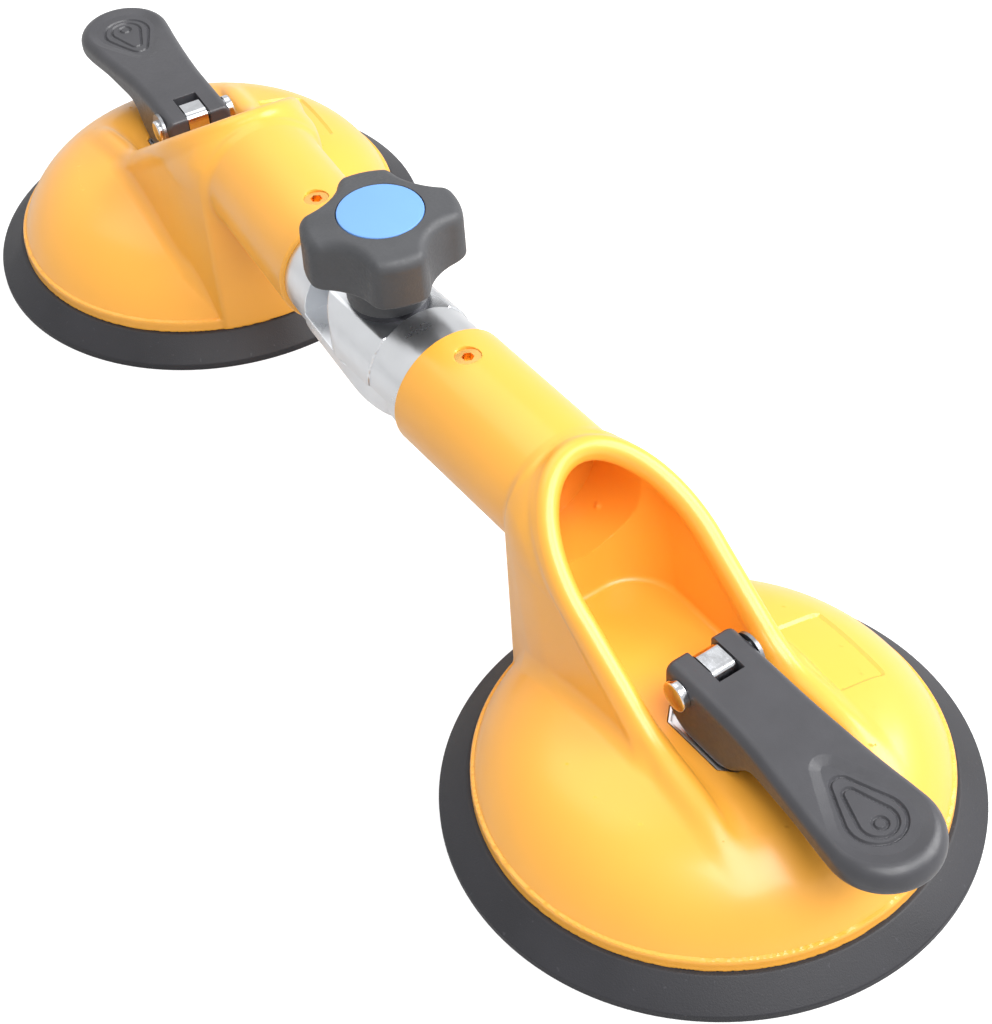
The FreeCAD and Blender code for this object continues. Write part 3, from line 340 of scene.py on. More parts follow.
RECESS_RADIUS, RECESS_Z = 13.7, 51.6        # the round recess in the pocket's end wall
RECESS_X = (-58.5, -30.0)
MARK_X, MARK_Y, MARK_Z, MARK_RADIUS = -52.1, 9.6, 41.4, 0.8


def dome_top(radius, z):
    """The dome's upper surface: a broad crown and a tighter shoulder, tangent to each other."""
    crown = np.hypot(radius, z - CROWN_Z) - CROWN_RADIUS
    across, up = radius - SHOULDER_X, z - SHOULDER_Z
    inside = across * TANGENT_Z < up * TANGENT_X
    return np.where(inside, crown, np.hypot(across, up) - SHOULDER_RADIUS)


def pocket_field(x, y, z):
    """The hood's inside: round above, slightly drawn in below, with a leaning end wall."""
    below = np.maximum(ARCH_Z - z, 0.0)
    side = np.hypot(y, np.maximum(z - ARCH_Z, 0.0)) - POCKET_RADIUS + below * POCKET_DRAFT
    end = -(x - POCKET_END_X + POCKET_LEAN * (z - FLOOR_Z)) / math.hypot(1.0, POCKET_LEAN)
    return common(common(side, end, radius=12.0), FLOOR_Z - z, radius=1.2)


def lip_height(x):
    """Height of the lip's centre line: down the sloping rim, then low along the dome."""
    radius = np.hypot(x, TAIL_Y)
    crown = np.sqrt(CROWN_RADIUS ** 2 - radius ** 2) + CROWN_Z
    over = SHOULDER_RADIUS ** 2 - np.maximum(radius - SHOULDER_X, 0.0) ** 2
    shoulder = np.sqrt(np.maximum(over, 0.0)) + SHOULDER_Z
    sunk = 0.1 + 0.08 * (x - 5.0) + 0.03 * np.maximum(x - 19.0, 0.0) ** 2
    tail = np.where(radius < CROWN_EDGE, crown, shoulder) - sunk
    slope = RIM_TOP_Z - math.tan(RIM_SLOPE) * (x - RIM_TOP_X)
    return -melt(-slope, -tail, width=4.0)


def lip_field(x, z, section):
    """The thick rounded lip of the hood's rim and its low tails beside the lever."""
    reach = 0.05
    fall = (lip_height(x + reach) - lip_height(x - reach)) / (2 * reach)
    above = (z - lip_height(x)) / np.hypot(fall, 1.0)
    aside = section - LIP_ACROSS - 0.06 * np.maximum(x, 0.0)
    lean = np.where(z > ARCH_Z, math.cos(RIM_SLOPE) * (z - ARCH_Z) / np.maximum(section, 1.0), 0.0)
    square = aside ** 2 + above ** 2 - 2 * aside * above * lean
    return np.sqrt(np.maximum(square, 0.0) / (1.0 - lean ** 2)) - LIP_RADIUS


def hood_field(x, aside, z, radius, section):
    """The scoop hood: drafted sides that flare to the cup, a tapered back and the sloping rim."""
    draft = HOOD_RADIUS + HOOD_DRAFT * np.maximum(ARCH_Z - z, 0.0)
    slope = (x - RIM_TOP_X) * math.sin(RIM_SLOPE) + (z - RIM_TOP_Z) * math.cos(RIM_SLOPE)
    flare = FLARE_COSINE * (aside - FLARE_Y) - FLARE_SINE * (x - FLARE_X)
    taper = TAPER_COSINE * (section - TAPER_RADIUS) - TAPER_SINE * (x - TAPER_X)
    hood = common(section - draft, slope, radius=1.0)
    hood = common(hood, flare, radius=1.5)
    hood = common(hood, taper, radius=2.0)
    return common(hood, radius - HOOD_REACH, radius=0.9)


def inside_field(radius, z):
    """The hollow under the dome, with the boss that guides the post left standing."""
    slant = SLANT_COSINE * (radius - INSIDE_RADIUS) + SLANT_SINE * (z - SLANT_Z)
    bell = common(radius - INSIDE_RADIUS, slant, radius=1.5)
    bell = common(bell, z - CEILING_Z, radius=2.0)
    boss = common(radius - BOSS_RADIUS, BOSS_Z - z, radius=0.6)
    return cut(bell, boss, radius=1.5)


def housing_field(x, y, z):
    """The whole casting: dome, hood, tube and lip, less the pocket, seat, inside and bores."""
    aside = np.abs(y)
    radius = np.hypot(x, y)
    section = np.hypot(y, np.maximum(z - ARCH_Z, 0.0))
    across_tube = np.hypot(y, z - AXIS_Z)

    label = common(span(x, *LABEL_X), span(y, *LABEL_Y), radius=1.0)
    top = dome_top(radius, z) + LABEL_DEPTH * np.clip(0.5 - label / LABEL_STEP, 0.0, 1.0)
    band = common(radius - RIM_RADIUS, z - BAND_TOP_Z, radius=0.6)
    foot_fillet = np.clip((52.0 - radius) * 0.5, 0.6, 3.4)
    solid = fuse(fuse(top, band, radius=0.2), hood_field(x, aside, z, radius, section),
                 radius=foot_fillet)
    tube = common(across_tube - TUBE_RADIUS, span(x, TUBE_END_X, TUBE_ROOT_X), radius=0.5)
    solid = melt(solid, tube, width=2.2)

    trough = common(aside - TROUGH_HALF - x * TROUGH_FLARE, FLOOR_Z - z, radius=1.2)
    trough = np.maximum(trough, TROUGH_X - x)
    recess = np.maximum(np.hypot(y, z - RECESS_Z) - RECESS_RADIUS, span(x, *RECESS_X))
    hollow = np.minimum(fuse(pocket_field(x, y, z), recess, radius=0.3), trough)
    solid = cut(solid, hollow, radius=1.2)
    casting_mark = np.hypot(np.hypot(x - MARK_X, y - MARK_Y), z - MARK_Z) - MARK_RADIUS
    solid = fuse(solid, casting_mark, radius=0.5)
    solid = melt(solid, lip_field(x, z, section), width=np.clip(1.8 + 0.12 * (x + 4.0), 1.6, 3.4))
    solid = common(solid, RIM_Z - z, radius=0.6)

    solid = cut(solid, np.maximum(seat_outline(x, y), SEAT_Z - z), radius=0.2)
    solid = cut(solid, inside_field(radius, z), radius=0.5)
    solid = cut(solid, radius - POST_BORE, radius=0.3)
    solid = cut(solid, np.maximum(across_tube - SOCKET_RADIUS, x - SOCKET_END_X), radius=0.5)
    grub_hole = np.maximum(np.hypot(x - GRUB_X, y) - GRUB_RADIUS, AXIS_Z - z)
    return cut(solid, grub_hole, radius=0.35)


def seat_outline(x, y):
    """Distance inside the lever's seat, seen from above: a box with cut corners."""
    aside = np.abs(y)
    outline = np.maximum(span(x, *SEAT_X), aside - SEAT_HALF)
    corners = (np.maximum(x - SEAT_FRONT_CUT, -x - SEAT_BACK_CUT) + aside) * 0.7071
    return np.maximum(outline, corners)


def plate_field(x, y, z):
    """The steel plate in the seat: its thin turned-up edge, and the track for the lever's heel."""
    foot_z, sheet_z, track_z, edge_z = 25.7, 26.4, 27.0, 27.7
    outline = seat_outline(x, y) + 0.2
    sheet = common(outline, span(z, foot_z, sheet_z), radius=0.1)
    edge = common(np.abs(outline + 0.3) - 0.3, span(z, foot_z, edge_z), radius=0.12)
    track = np.maximum(outline + 0.8, span(x, 4.6, 15.6))
    track = common(track, span(z, foot_z, track_z), radius=0.15)
    return np.minimum(np.minimum(sheet, edge), track)


# ------------------------------------------------------------------------ the lever

LEVER_TOP_Z = 40.8
HEEL_Z = 27.15                              # lowest points of the heel, on the plate's track
HEEL_BACK_X, HEEL_FRONT_X = 4.6, 9.66       # the heel is flat between these and round beyond
HEEL_BACK_RADIUS, HEEL_BACK_Z = 9.85, 37.0
HEEL_FRONT_RADIUS, HEEL_FRONT_Z = 12.0, 38.87
HANDLE_Z, HANDLE_FALL = 35.4, 2.0           # its under side, which falls towards the thumb
TOP_RADIUS, TOP_X, TOP_Z = 260.0, 0.8, -216.33
FORK_X, FORK_HALF = 5.9, 3.3                # the slot that takes the post's tongue
NECK_X, NECK_HALF = 20.0, 9.2
THUMB_X, THUMB_RADIUS = 52.0, 12.7
PIN_HOLE = 3.05


def pear(x, y, start, start_radius, end, end_radius):
    """Distance to an egg-shaped outline round two circles on the X axis."""
    lean = (end_radius - start_radius) / (end - start)
    rise = math.sqrt(1.0 - lean * lean)
    along = (x - start) * rise + np.abs(y) * lean
    side = np.abs(y) * rise - (x - start) * lean - start_radius
    before = np.hypot(x - start, y) - start_radius
    beyond = np.hypot(x - end, y) - end_radius
    return np.where(along < 0.0, before, np.where(along > (end - start) * rise, beyond, side))


def thumb_hollow(x, y):
    """How far the thumb's dish and its three grooves sink into the lever's top."""
    dish_depth, dish_edge, groove_depth, groove_half = 0.6, 2.4, 0.45, 0.36
    dish = pear(x, y, 35.5, 2.6, 50.5, 9.4)
    sunk = dish_depth * np.clip(0.5 - dish / dish_edge, 0.0, 1.0)
    for outline in (pear(x, y, 39.9, 2.4, 49.6, 6.3), pear(x, y, 42.2, 1.5, 50.2, 4.1),
                    np.hypot(x - 51.0, y) - 1.5):
        sunk = sunk + groove_depth * np.clip(1.3 - np.abs(outline) / groove_half, 0.0, 1.0)
    return sunk


def lever_field(x, y, z):
    """The lever: a forked head with the cam's heel below, and a handle that widens to the thumb."""
    arc = np.hypot(x - TOP_X, z - TOP_Z) - TOP_RADIUS
    top = melt(arc, z - LEVER_TOP_Z, width=1.2) + thumb_hollow(x, y)

    back = np.hypot(x - HEEL_BACK_X, z - HEEL_BACK_Z) - HEEL_BACK_RADIUS
    front = np.hypot(x - HEEL_FRONT_X, z - HEEL_FRONT_Z) - HEEL_FRONT_RADIUS
    flat = HEEL_Z - z
    heel = np.maximum(np.where(x < HEEL_BACK_X, back, flat), flat)
    heel = np.maximum(heel, np.where(x > HEEL_FRONT_X, front, flat))
    part = np.clip((x - 34.0) / 18.0, 0.0, 1.0)
    handle = HANDLE_Z - HANDLE_FALL * part * part * (3.0 - 2.0 * part) - z
    under = melt(heel, handle, width=5.0)

    width = 9.2555 + 0.44 * np.log1p(np.exp(np.minimum((x - NECK_X) / 4.0, 30.0)))
    side = np.where(x < 36.0, (np.abs(y) - width) * 0.994,
                    pear(x, y, NECK_X, NECK_HALF, THUMB_X, THUMB_RADIUS))
    tip = np.clip((x - 46.0) / 18.0, 0.0, 1.0)
    solid = common(top, side, radius=2.5 + 1.6 * tip)
    solid = common(solid, under, radius=1.5 + 1.5 * part)
    solid = common(solid, -5.0 - x, radius=1.2)
    solid = cut(solid, np.maximum(np.abs(y) - FORK_HALF, x - FORK_X), radius=0.25)
    return cut(solid, np.hypot(x - PIN_X, z - PIN_Z) - PIN_HOLE, radius=0.2)


# ------------------------------------------------------------------- knob and knuckles

KNOB_TURN = math.radians(-20.0)
KNOB_RADIUS, KNOB_DRAFT = 18.7, 0.012
KNOB_FOOT_Z, KNOB_HEAD_Z = 65.4, 74.0
VALLEY_REACH, VALLEY_RADIUS = 26.1, 11.9
KNOB_TOP_RADIUS, KNOB_TOP_Z = 90.65, -1.2   # its slightly domed top
HUB_RADIUS = 9.8
LEAF_RADIUS, COLLAR_RADIUS, SPIGOT_RADIUS = 14.8, 14.3, 12.7
FLAT_HEIGHT, FLAT_X = 11.4, 11.6            # the flat that the washer lies on
LAP_HALF_GAP, LAP_X = 0.025, 18.6
BUSH_BORE, STUD_BORE, STUD_HEAD_BORE, STUD_HEAD_Z = 6.0, 4.05, 6.5, 42.8


def knob_field(x, y, z):
    """The star knob: four lobes with round valleys, a hub below, and the hollow for its insert."""
    radius = np.hypot(x, y)
    star = radius - KNOB_RADIUS
    for quarter in range(4):
        angle = KNOB_TURN + (quarter + 0.5) * math.pi / 2
        valley = np.hypot(x - VALLEY_REACH * math.cos(angle), y - VALLEY_REACH * math.sin(angle))
        star = cut(star, valley - VALLEY_RADIUS, radius=2.2)
    star = star + KNOB_DRAFT * (z - 76.0)
    crown = np.hypot(radius, z - KNOB_TOP_Z) - KNOB_TOP_RADIUS
    under = KNOB_HEAD_Z + 0.14 * np.maximum(radius - 10.0, 0.0) - z
    head = common(common(star, crown, radius=2.4), under, radius=0.9)
    hub = common(radius - HUB_RADIUS, span(z, KNOB_FOOT_Z, 78.0), radius=0.6)
    solid = fuse(head, hub, radius=0.8)
    cap_seat = np.maximum(radius - 10.2, 87.2 - z)
    insert_hole = np.maximum(radius - 6.2, z - 77.7)
    stud_hole = np.maximum(radius - 4.3, z - 84.0)
    return cut(cut(cut(solid, cap_seat, radius=0.3), insert_hole), stud_hole)


def knuckle_field(side, shoulder, tube_x):
    """One leaf of the swivel's half lap, with its collar and the start of its spigot."""
    def field(x, y, z):
        across = np.hypot(y, z - AXIS_Z)
        radius = np.hypot(x, y)
        leaf = common(across - LEAF_RADIUS, x - shoulder, radius=0.5)
        collar = common(across - COLLAR_RADIUS, x - tube_x, radius=0.4)
        spigot = np.maximum(across - SPIGOT_RADIUS, x - tube_x - 4.0)
        solid = np.minimum(np.minimum(leaf, collar), spigot)
        nose = np.where(x < 0.0, radius, np.abs(y)) - LEAF_RADIUS
        solid = common(solid, nose, radius=0.4)
        lap = np.maximum(side * (z - AXIS_Z) - LAP_HALF_GAP, x - LAP_X)
        solid = cut(solid, lap, radius=0.3)
        if side > 0:
            flat = np.maximum(AXIS_Z + FLAT_HEIGHT - z, x - FLAT_X)
            return cut(cut(solid, flat, radius=0.3), radius - BUSH_BORE, radius=0.2)
        solid = cut(solid, radius - STUD_BORE, radius=0.2)
        return cut(solid, np.maximum(radius - STUD_HEAD_BORE, z - STUD_HEAD_Z), radius=0.3)
    return field


# ---------------------------------------------------------------- material helpers

class Material:
    """A node material being put together, with one Principled shader."""

    def __init__(self, name, **values):
        self.material = bpy.data.materials.new(name)
        self.material.use_nodes = True
        self.tree = self.material.node_tree
        self.shader = self.tree.nodes["Principled BSDF"]
        for key, value in values.items():
            self.shader.inputs[key.replace("_", " ")].default_value = value
        self.place = self.new("ShaderNodeTexCoord").outputs["Object"]

    def new(self, kind, **values):
        node = self.tree.nodes.new(kind)
        for key, value in values.items():
            setattr(node, key, value)
        return node

    def link(self, source, target):
        self.tree.links.new(source, target)

    def stretched(self, scale):
        """Object coordinates scaled differently along each axis."""
        node = self.new("ShaderNodeMapping")
        node.inputs["Scale"].default_value = scale
        self.link(self.place, node.inputs["Vector"])
        return node.outputs["Vector"]

    def noise(self, scale, detail, vector=None):
        node = self.new("ShaderNodeTexNoise")
        node.inputs["Scale"].default_value = scale
        node.inputs["Detail"].default_value = detail
        self.link(vector or self.place, node.inputs["Vector"])
        return node.outputs["Fac"]

    def cells(self, scale):
        node = self.new("ShaderNodeTexVoronoi")
        node.inputs["Scale"].default_value = scale
        self.link(self.place, node.inputs["Vector"])
        return node.outputs["Distance"]

    def ramp(self, source, low, high, colour_low, colour_high):
        node = self.new("ShaderNodeValToRGB")
        stops = node.color_ramp.elements
        stops[0].position, stops[0].color = low, colour_low
        stops[1].position, stops[1].color = high, colour_high
        self.link(source, node.inputs["Fac"])
        return node.outputs["Color"]

    def range(self, source, low, high, to_low, to_high):
        node = self.new("ShaderNodeMapRange")
        for key, value in (("From Min", low), ("From Max", high),
                           ("To Min", to_low), ("To Max", to_high)):
            node.inputs[key].default_value = value
        self.link(source, node.inputs["Value"])
        return node.outputs["Result"]

    def math(self, operation, first, second):
        node = self.new("ShaderNodeMath", operation=operation)
        for socket, value in zip(node.inputs, (first, second)):
            if isinstance(value, (int, float)):
                socket.default_value = value
            else:
                self.link(value, socket)
        return node.outputs["Value"]

    def speckle(self, factor, colour, speck):
        """A colour from a node with specks of one plain colour over it."""
        node = self.new("ShaderNodeMix", data_type="RGBA")
        ground, over, result = node.inputs[6], node.inputs[7], node.outputs[2]
        self.link(factor, node.inputs["Factor"])
        self.link(colour, ground)
        over.default_value = speck
        return result

    def colour(self, source):
        self.link(source, self.shader.inputs["Base Color"])

    def roughness(self, source):
        self.link(source, self.shader.inputs["Roughness"])

    def bump(self, height, distance, strength):
        node = self.new("ShaderNodeBump")
        node.inputs["Distance"].default_value = distance
        node.inputs["Strength"].default_value = strength
        self.link(height, node.inputs["Height"])
        self.link(node.outputs["Normal"], self.shader.inputs["Normal"])


def srgb(red, green, blue):
    """A colour as written on screen, 0 to 255, in the linear values that Blender wants."""
    def linear(value):
        value /= 255
        return value / 12.92 if value <= 0.04045 else ((value + 0.055) / 1.055) ** 2.4
    return (linear(red), linear(green), linear(blue), 1.0)


def shade(colour, factor):
    """A colour made darker or lighter."""
    return (colour[0] * factor, colour[1] * factor, colour[2] * factor, 1.0)


# ------------------------------------------------------------------------ materials

def body_paint():
    """Glossy powder coat over a die casting: fine orange peel, faint drift of the colour."""
    m = Material("body_paint", Roughness=0.36, Coat_Weight=0.45, Coat_Roughness=0.2,
                 Specular_IOR_Level=0.5)
    base = srgb(252, 178, 64)
    drift = m.noise(28.0, 3.0)
    m.colour(m.ramp(drift, 0.35, 0.65, shade(base, 0.96), base))
    m.roughness(m.range(m.noise(90.0, 2.0), 0.3, 0.7, 0.33, 0.4))
    m.bump(m.noise(420.0, 1.0), 0.00003, 0.25)
    return m.material


def cup_rubber():
    """Matte moulded rubber with bloom and a fine grain."""
    m = Material("cup_rubber", Roughness=0.6, Specular_IOR_Level=0.35)
    base = srgb(44, 44, 48)
    bloom = m.noise(60.0, 5.0)
    speck = m.range(m.noise(900.0, 1.0), 0.72, 0.8, 0.0, 1.0)
    colour = m.ramp(bloom, 0.3, 0.7, shade(base, 0.88), shade(base, 1.12))
    m.colour(m.speckle(speck, colour, shade(base, 1.7)))
    m.roughness(m.range(bloom, 0.3, 0.7, 0.42, 0.56))
    m.bump(m.noise(2600.0, 2.0), 0.00008, 0.5)
    return m.material


def lever_plastic():
    """Satin glass-filled nylon with a fine spark-eroded texture."""
    m = Material("lever_plastic", Roughness=0.36, Specular_IOR_Level=0.5)
    base = srgb(62, 62, 66)
    m.colour(m.ramp(m.noise(120.0, 3.0), 0.3, 0.7, shade(base, 0.92), shade(base, 1.08)))
    m.roughness(m.range(m.noise(900.0, 2.0), 0.3, 0.7, 0.31, 0.41))
    m.bump(m.noise(2400.0, 2.0), 0.00005, 0.4)
    return m.material


def knob_plastic():
    """Dark thermoplastic with the coarser grain of a moulded hand knob."""
    m = Material("knob_plastic", Roughness=0.5, Specular_IOR_Level=0.5)
    base = srgb(66, 67, 70)
    m.colour(m.ramp(m.noise(150.0, 3.0), 0.3, 0.7, shade(base, 0.92), shade(base, 1.08)))
    m.roughness(m.range(m.noise(1200.0, 2.0), 0.3, 0.7, 0.42, 0.56))
    m.bump(m.noise(1700.0, 3.0), 0.0001, 0.5)
    return m.material


def cap_plastic():
    """Smooth blue snap-in cap."""
    m = Material("cap_plastic", Roughness=0.45, Specular_IOR_Level=0.4)
    base = srgb(112, 160, 226)
    m.colour(m.ramp(m.noise(90.0, 2.0), 0.3, 0.7, shade(base, 0.97), base))
    m.bump(m.noise(700.0, 2.0), 0.00004, 0.25)
    return m.material


def turned_metal(name, base, roughness):
    """Machined metal: fine turning lines round the upright axis, with a little stain."""
    m = Material(name, Metallic=1.0, Roughness=roughness)
    lines = m.noise(1.0, 3.0, m.stretched((25.0, 25.0, 3000.0)))
    m.colour(m.ramp(m.noise(140.0, 4.0), 0.3, 0.75, shade(base, 0.9), base))
    m.roughness(m.range(lines, 0.3, 0.7, roughness * 0.8, roughness * 1.35))
    m.bump(lines, 0.00001, 0.5)
    return m.material


def bright_chrome():
    """Plated steel with faint marks of wear."""
    m = Material("bright_chrome", Metallic=1.0, Roughness=0.12)
    base = srgb(226, 228, 232)
    m.colour(m.ramp(m.noise(260.0, 4.0), 0.35, 0.7, shade(base, 0.82), base))
    m.roughness(m.range(m.noise(500.0, 3.0), 0.35, 0.7, 0.08, 0.2))
    m.bump(m.noise(1100.0, 3.0), 0.00004, 0.3)
    return m.material


def satin_alloy():
    """Machined zinc casting: even satin sheen, faint turning lines and a few small pits."""
    m = Material("knuckle_alloy", Metallic=1.0, Roughness=0.3)
    base = srgb(234, 236, 239)
    lines = m.noise(1.0, 2.0, m.stretched((900.0, 12.0, 12.0)))
    cloud = m.noise(70.0, 4.0)
    pits = m.range(m.cells(300.0), 0.0, 0.07, 1.0, 0.0)
    m.colour(m.ramp(cloud, 0.3, 0.7, shade(base, 0.88), base))
    m.roughness(m.range(cloud, 0.3, 0.7, 0.25, 0.38))
    height = m.math("SUBTRACT", m.math("MULTIPLY", lines, 0.3), pits)
    m.bump(height, 0.00003, 0.4)
    return m.material


MATERIALS = {
    "body_paint": body_paint(),
    "screw_paint": turned_metal("screw_paint", srgb(250, 196, 112), 0.24),
    "black_steel": turned_metal("black_steel", srgb(70, 70, 74), 0.5),
    "cup_rubber": cup_rubber(),
    "lever_plastic": lever_plastic(),
    "knob_plastic": knob_plastic(),
    "cap_plastic": cap_plastic(),
    "knuckle_alloy": satin_alloy(),
    "bright_chrome": bright_chrome(),
    "zinc_steel": turned_metal("zinc_steel", srgb(190, 192, 196), 0.3),
    "spring_steel": turned_metal("spring_steel", srgb(150, 152, 156), 0.35),
    "insert_brass": turned_metal("insert_brass", srgb(222, 190, 120), 0.28),
}

# nodes given another finish than their metal's own: the grub screws painted over, the clamp washer
# dark
FINISHES = {"front_grub_screw": "screw_paint", "rear_grub_screw": "screw_paint",
            "clamp_washer": "black_steel"}

for entry in frame["record"]["subparts"]:
    node = frame["nodes"][entry["node"]]
    node.data.materials.clear()
    finish = FINISHES.get(entry["node"], entry["material_slot"])
    node.data.materials.append(MATERIALS[finish])


# ------------------------------------------------------------------------ the pieces

def own(item, body, slot, *nodes):
    """A rigid piece: what it rides on, its material slot, which is not used, and the solids that it
    stands for.
    """
    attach(item, body)
    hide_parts(*nodes)


def stretch(item, head, slot, outer, inner, *nodes):
    """A soft piece between the arm and the part that the lever lifts; its placement is baked into
    its points and the solids that it stands for are hidden.
    """
    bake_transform(item)
    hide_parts(*nodes)


# The rubber cup in section, as radius and height: the web lies between the two radii, where the
# real cup bends.
CUP_RADIUS = 60.0
WEB_OUTER, WEB_INNER = 46.0, 34.0
RIM_LOW, RIM_HIGH = 4.55, 7.35
MIDDLE_LOW, MIDDLE_HIGH = 8.2, 11.0
WEB_SECTORS = 16


def add_cup(head):
    """The rubber cup: a rim that stays with the casting, a middle that the lever lifts, and a web
    between them in sectors."""
    rubber = MATERIALS["cup_rubber"]
    matrix = PLACES[head]
    node = head + "_rubber_pad"
    rim = rounded_outline([
        (WEB_OUTER, RIM_LOW, 0.0), (48.6, RIM_LOW, 0.0), (55.0, 0.0, 0.5), (CUP_RADIUS, 0.0, 0.5),
        (CUP_RADIUS, 2.0, 0.7), (53.6, RIM_HIGH, 1.0), (WEB_OUTER, RIM_HIGH, 0.0)])
    own(turned(head + "_cup_rim", rim, matrix, rubber, sides=160), head + "_arm", "cup_rubber",
        node)
    middle = rounded_outline([
        (0.5, MIDDLE_LOW, 0.0), (WEB_INNER, MIDDLE_LOW, 0.0), (WEB_INNER, MIDDLE_HIGH, 0.0),
        (0.5, MIDDLE_HIGH, 0.0)])
    own(turned(head + "_cup_middle", middle, matrix, rubber, sides=96), head + "_pad_lift",
        "cup_rubber", node)
    lower = [(WEB_INNER, MIDDLE_LOW), (35.2, 8.1), (36.5, 7.4), (38.0, 5.6), (39.4, 4.7),
             (41.0, RIM_LOW), (WEB_OUTER, RIM_LOW)]
    upper = [(WEB_OUTER, RIM_HIGH), (44.0, 7.4), (42.2, 7.7), (40.4, 8.9), (38.6, 10.2),
             (36.6, 10.9), (WEB_INNER, MIDDLE_HIGH)]
    web = [Vector(spot) for spot in lower + upper]
    sweep = math.tau / WEB_SECTORS
    for sector in range(WEB_SECTORS):
        item = turned("%s_cup_web_%02d" % (head, sector + 1), web, matrix, rubber, sides=8,
                      start=sector * sweep, sweep=sweep)
        angle = (sector + 0.5) * sweep
        along = Vector((math.cos(angle), math.sin(angle), 0.0))
        chord = math.cos(sweep / 2)
        stretch(item, head, "cup_rubber", along * WEB_OUTER * chord, along * WEB_INNER, node)


def add_spring(head):
    """Round wire coil with closed ends, from the lifted plate to the casting's ceiling."""
    low, high, radius, wire, turns = 13.6, 22.3, 12.0, 0.7, 3.5
    closed_part = 0.12                  # the share of the wire that lies flat at each end
    steps, sides = 56, 10
    points, faces = [], []
    for step in range(int(steps * turns) + 1):
        angle = step / steps * math.tau
        part = step / (steps * turns)
        ease = min(max((part - closed_part) / (1.0 - 2 * closed_part), 0.0), 1.0)
        height = low + wire + (high - low - wire * 2) * ease
        out = Vector((math.cos(angle), math.sin(angle), 0.0))
        for side in range(sides):
            turn = side / sides * math.tau
            points.append(PLACES[head] @ (out * (radius + wire * math.cos(turn))
                                          + Vector((0.0, 0.0, height + wire * math.sin(turn)))))
    rings = len(points) // sides
    for ring in range(rings - 1):
        for side in range(sides):
            after = (side + 1) % sides
            faces.append((ring * sides + side, ring * sides + after,
                          (ring + 1) * sides + after, (ring + 1) * sides + side))
    faces.append(tuple(range(sides))[::-1])
    faces.append(tuple((rings - 1) * sides + side for side in range(sides)))
    item = mesh_object(head + "_spring_coil", points, faces)
    finish_mesh(item, MATERIALS["spring_steel"])
    stretch(item, head, "spring_steel", (0.0, 0.0, high), (0.0, 0.0, low),
            head + "_return_spring")


def add_pin(head):
    """The lever's pin: a flat head with a soft edge, and a tail with a groove for the ring."""
    shaft, groove, head_radius = 3.0, 2.4, 3.5
    outline = rounded_outline([
        (0.0, -11.2, 0.0), (shaft, -11.2, 0.6), (shaft, -10.05, 0.0), (groove, -10.05, 0.0),
        (groove, -9.25, 0.0), (shaft, -9.25, 0.0), (shaft, 9.25, 0.0), (head_radius, 9.25, 0.2),
        (head_radius, 11.1, 0.35), (0.0, 11.15, 0.0)])
    matrix = PLACES[head] @ Matrix.Translation((PIN_X, 0.0, PIN_Z)) @ Matrix.Rotation(
        math.pi / 2, 4, "X")
    item = turned(head + "_pin", outline, matrix, MATERIALS["bright_chrome"], sides=64)
    own(item, head + "_lever_group", "bright_chrome", head + "_lever_pin")


def add_knob():
    """The star knob and the blue cap let into its top."""
    star = surface(knob_field, low=(-19.4, -19.4, 64.8), high=(19.4, 19.4, 89.6), cell=0.36)
    own(place_surface("knob_star", star, swivel_placement(), MATERIALS["knob_plastic"]), "knob",
        "knob_plastic", "knob_body")
    disc = rounded_outline([(0.0, 87.0, 0.0), (10.0, 87.0, 0.0), (10.0, 88.95, 0.3),
                            (0.0, 89.3, 0.0)])
    own(turned("knob_disc", disc, swivel_placement(), MATERIALS["cap_plastic"], sides=96), "knob",
        "cap_plastic", "knob_cap")


def add_leaf(head, side, shoulder, tube_x):
    """A knuckle's leaf, turned towards its own head: side 1 lies above the other, -1 below."""
    along = PLACES[head].translation - swivel_placement().translation
    shape = surface(knuckle_field(side, shoulder, tube_x), low=(-15.6, -15.6, 36.8),
                    high=(tube_x + 5.0, 15.6, 68.0), cell=0.42)
    own(place_surface(head + "_leaf", shape, swivel_placement((along.x, along.y, 0.0)),
                      MATERIALS["knuckle_alloy"]), head + "_arm", "knuckle_alloy",
        head + "_knuckle")


HOUSING = surface(housing_field, low=(-96.2, -54.0, 6.6), high=(54.0, 54.0, 71.0), cell=0.62)
LEVER = surface(lever_field, low=(-6.0, -13.6, 26.4), high=(66.0, 13.6, 44.4), cell=0.29)
PLATE = surface(plate_field, low=(-6.6, -11.2, 25.1), high=(17.6, 11.2, 28.3), cell=0.2)
# The photograph shows the rear label on the other side, so the rear casting is mirrored.
HANDS = {"front": Matrix.Identity(4), "rear": Matrix.Diagonal((1.0, -1.0, 1.0, 1.0))}
for head in HEADS:
    own(place_surface(head + "_plate", PLATE, PLACES[head], MATERIALS["knuckle_alloy"]),
        head + "_arm", "bright_chrome", head + "_wear_plate")
    own(place_surface(head + "_casting", HOUSING, PLACES[head] @ HANDS[head],
                      MATERIALS["body_paint"]), head + "_arm", "body_paint", head + "_housing")
    own(place_surface(head + "_handle", LEVER, PLACES[head], MATERIALS["lever_plastic"]),
        head + "_lever_group", "lever_plastic", head + "_lever")
    add_cup(head)
    add_spring(head)
    add_pin(head)
add_knob()
add_leaf("front", side=1.0, shoulder=11.6, tube_x=23.6)
add_leaf("rear", side=-1.0, shoulder=18.6, tube_x=30.5)


# ------------------------------------------------------------------ stage and camera

WHITE = (1.0, 1.0, 1.0, 1.0)


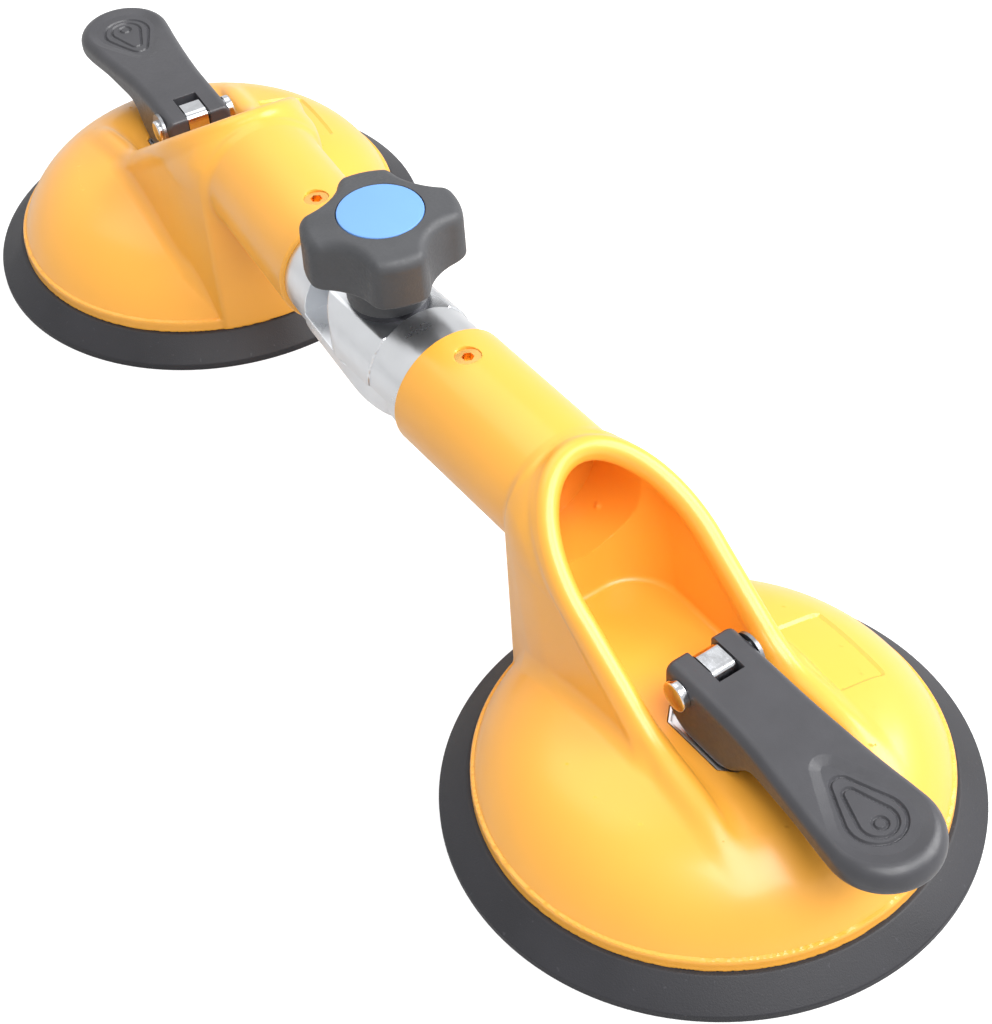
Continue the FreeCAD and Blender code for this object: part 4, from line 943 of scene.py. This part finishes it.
def add_floor():
    """A pale floor that looks white to the camera and keeps the shadow."""
    half, grey, own_light = 4.0, 0.55, 0.7
    floor = mesh_object("floor", [(-half, -half, 0), (half, -half, 0), (half, half, 0),
                                  (-half, half, 0)], [(0, 1, 2, 3)])
    m = Material("floor_white", Roughness=0.9)
    m.shader.inputs["Base Color"].default_value = (grey, grey, grey, 1.0)
    glow = m.new("ShaderNodeEmission")
    glow.inputs["Color"].default_value = WHITE
    rays = m.new("ShaderNodeLightPath")
    seen = m.math("MAXIMUM", rays.outputs["Is Camera Ray"], rays.outputs["Is Transmission Ray"])
    m.link(m.math("MULTIPLY", seen, own_light), glow.inputs["Strength"])
    both = m.new("ShaderNodeAddShader")
    m.link(m.shader.outputs["BSDF"], both.inputs[0])
    m.link(glow.outputs["Emission"], both.inputs[1])
    m.link(both.outputs["Shader"], m.tree.nodes["Material Output"].inputs["Surface"])
    floor.data.materials.append(m.material)


def add_world():
    """White all round: full strength to the camera, less in reflections, half as light."""
    world = bpy.data.worlds.new("studio")
    world.use_nodes = True
    tree = world.node_tree
    background = tree.nodes["Background"]
    background.inputs["Color"].default_value = WHITE
    rays = tree.nodes.new("ShaderNodeLightPath")
    level, camera_more, glossy_more = 0.5, 0.5, 0.35
    for kind, more in (("Is Camera Ray", camera_more), ("Is Glossy Ray", glossy_more)):
        step = tree.nodes.new("ShaderNodeMath")
        step.operation = "MULTIPLY_ADD"
        tree.links.new(rays.outputs[kind], step.inputs[0])
        step.inputs[1].default_value = more
        if isinstance(level, float):
            step.inputs[2].default_value = level
        else:
            tree.links.new(level, step.inputs[2])
        level = step.outputs["Value"]
    tree.links.new(level, background.inputs["Strength"])
    bpy.context.scene.world = world


def add_lamp(name, place, aim, size, power):
    """A rectangular soft lamp."""
    light = bpy.data.lights.new(name, "AREA")
    light.shape = "RECTANGLE"
    light.size, light.size_y = size
    light.energy = power
    item = bpy.data.objects.new(name, light)
    bpy.context.scene.collection.objects.link(item)
    place, aim = Vector(place), Vector(aim)
    item.location = place
    item.rotation_euler = (aim - place).to_track_quat("-Z", "Y").to_euler()


def add_camera():
    """The photograph's viewpoint, as solved from the cups, tubes and cap."""
    camera = bpy.data.cameras.new("camera")
    camera.sensor_width, camera.lens = 36.0, 80.296
    item = bpy.data.objects.new("camera", camera)
    bpy.context.scene.collection.objects.link(item)
    place = Vector((0.36239, -0.21256, 0.39953))
    right = Vector((0.57971, 0.81320, -0.05140))
    down = Vector((0.55164, -0.43811, -0.70976))
    view = Vector((-0.59969, 0.38310, -0.70257))
    turn = Matrix((right, -down, -view)).transposed().to_4x4()
    item.matrix_world = Matrix.Translation(place) @ turn
    bpy.context.scene.camera = item


add_floor()
add_world()
part_middle = (0.0, 0.0, 0.03)
add_lamp("key", (0.6, 1.2, 1.05), part_middle, size=(1.2, 1.0), power=27.0)
add_lamp("front", (1.0, 0.0, 1.5), part_middle, size=(1.2, 1.0), power=27.0)
add_lamp("top", (-0.7, 0.0, 1.4), part_middle, size=(1.4, 1.0), power=5.0)
add_camera()
bpy.context.scene.view_settings.view_transform = "Standard"
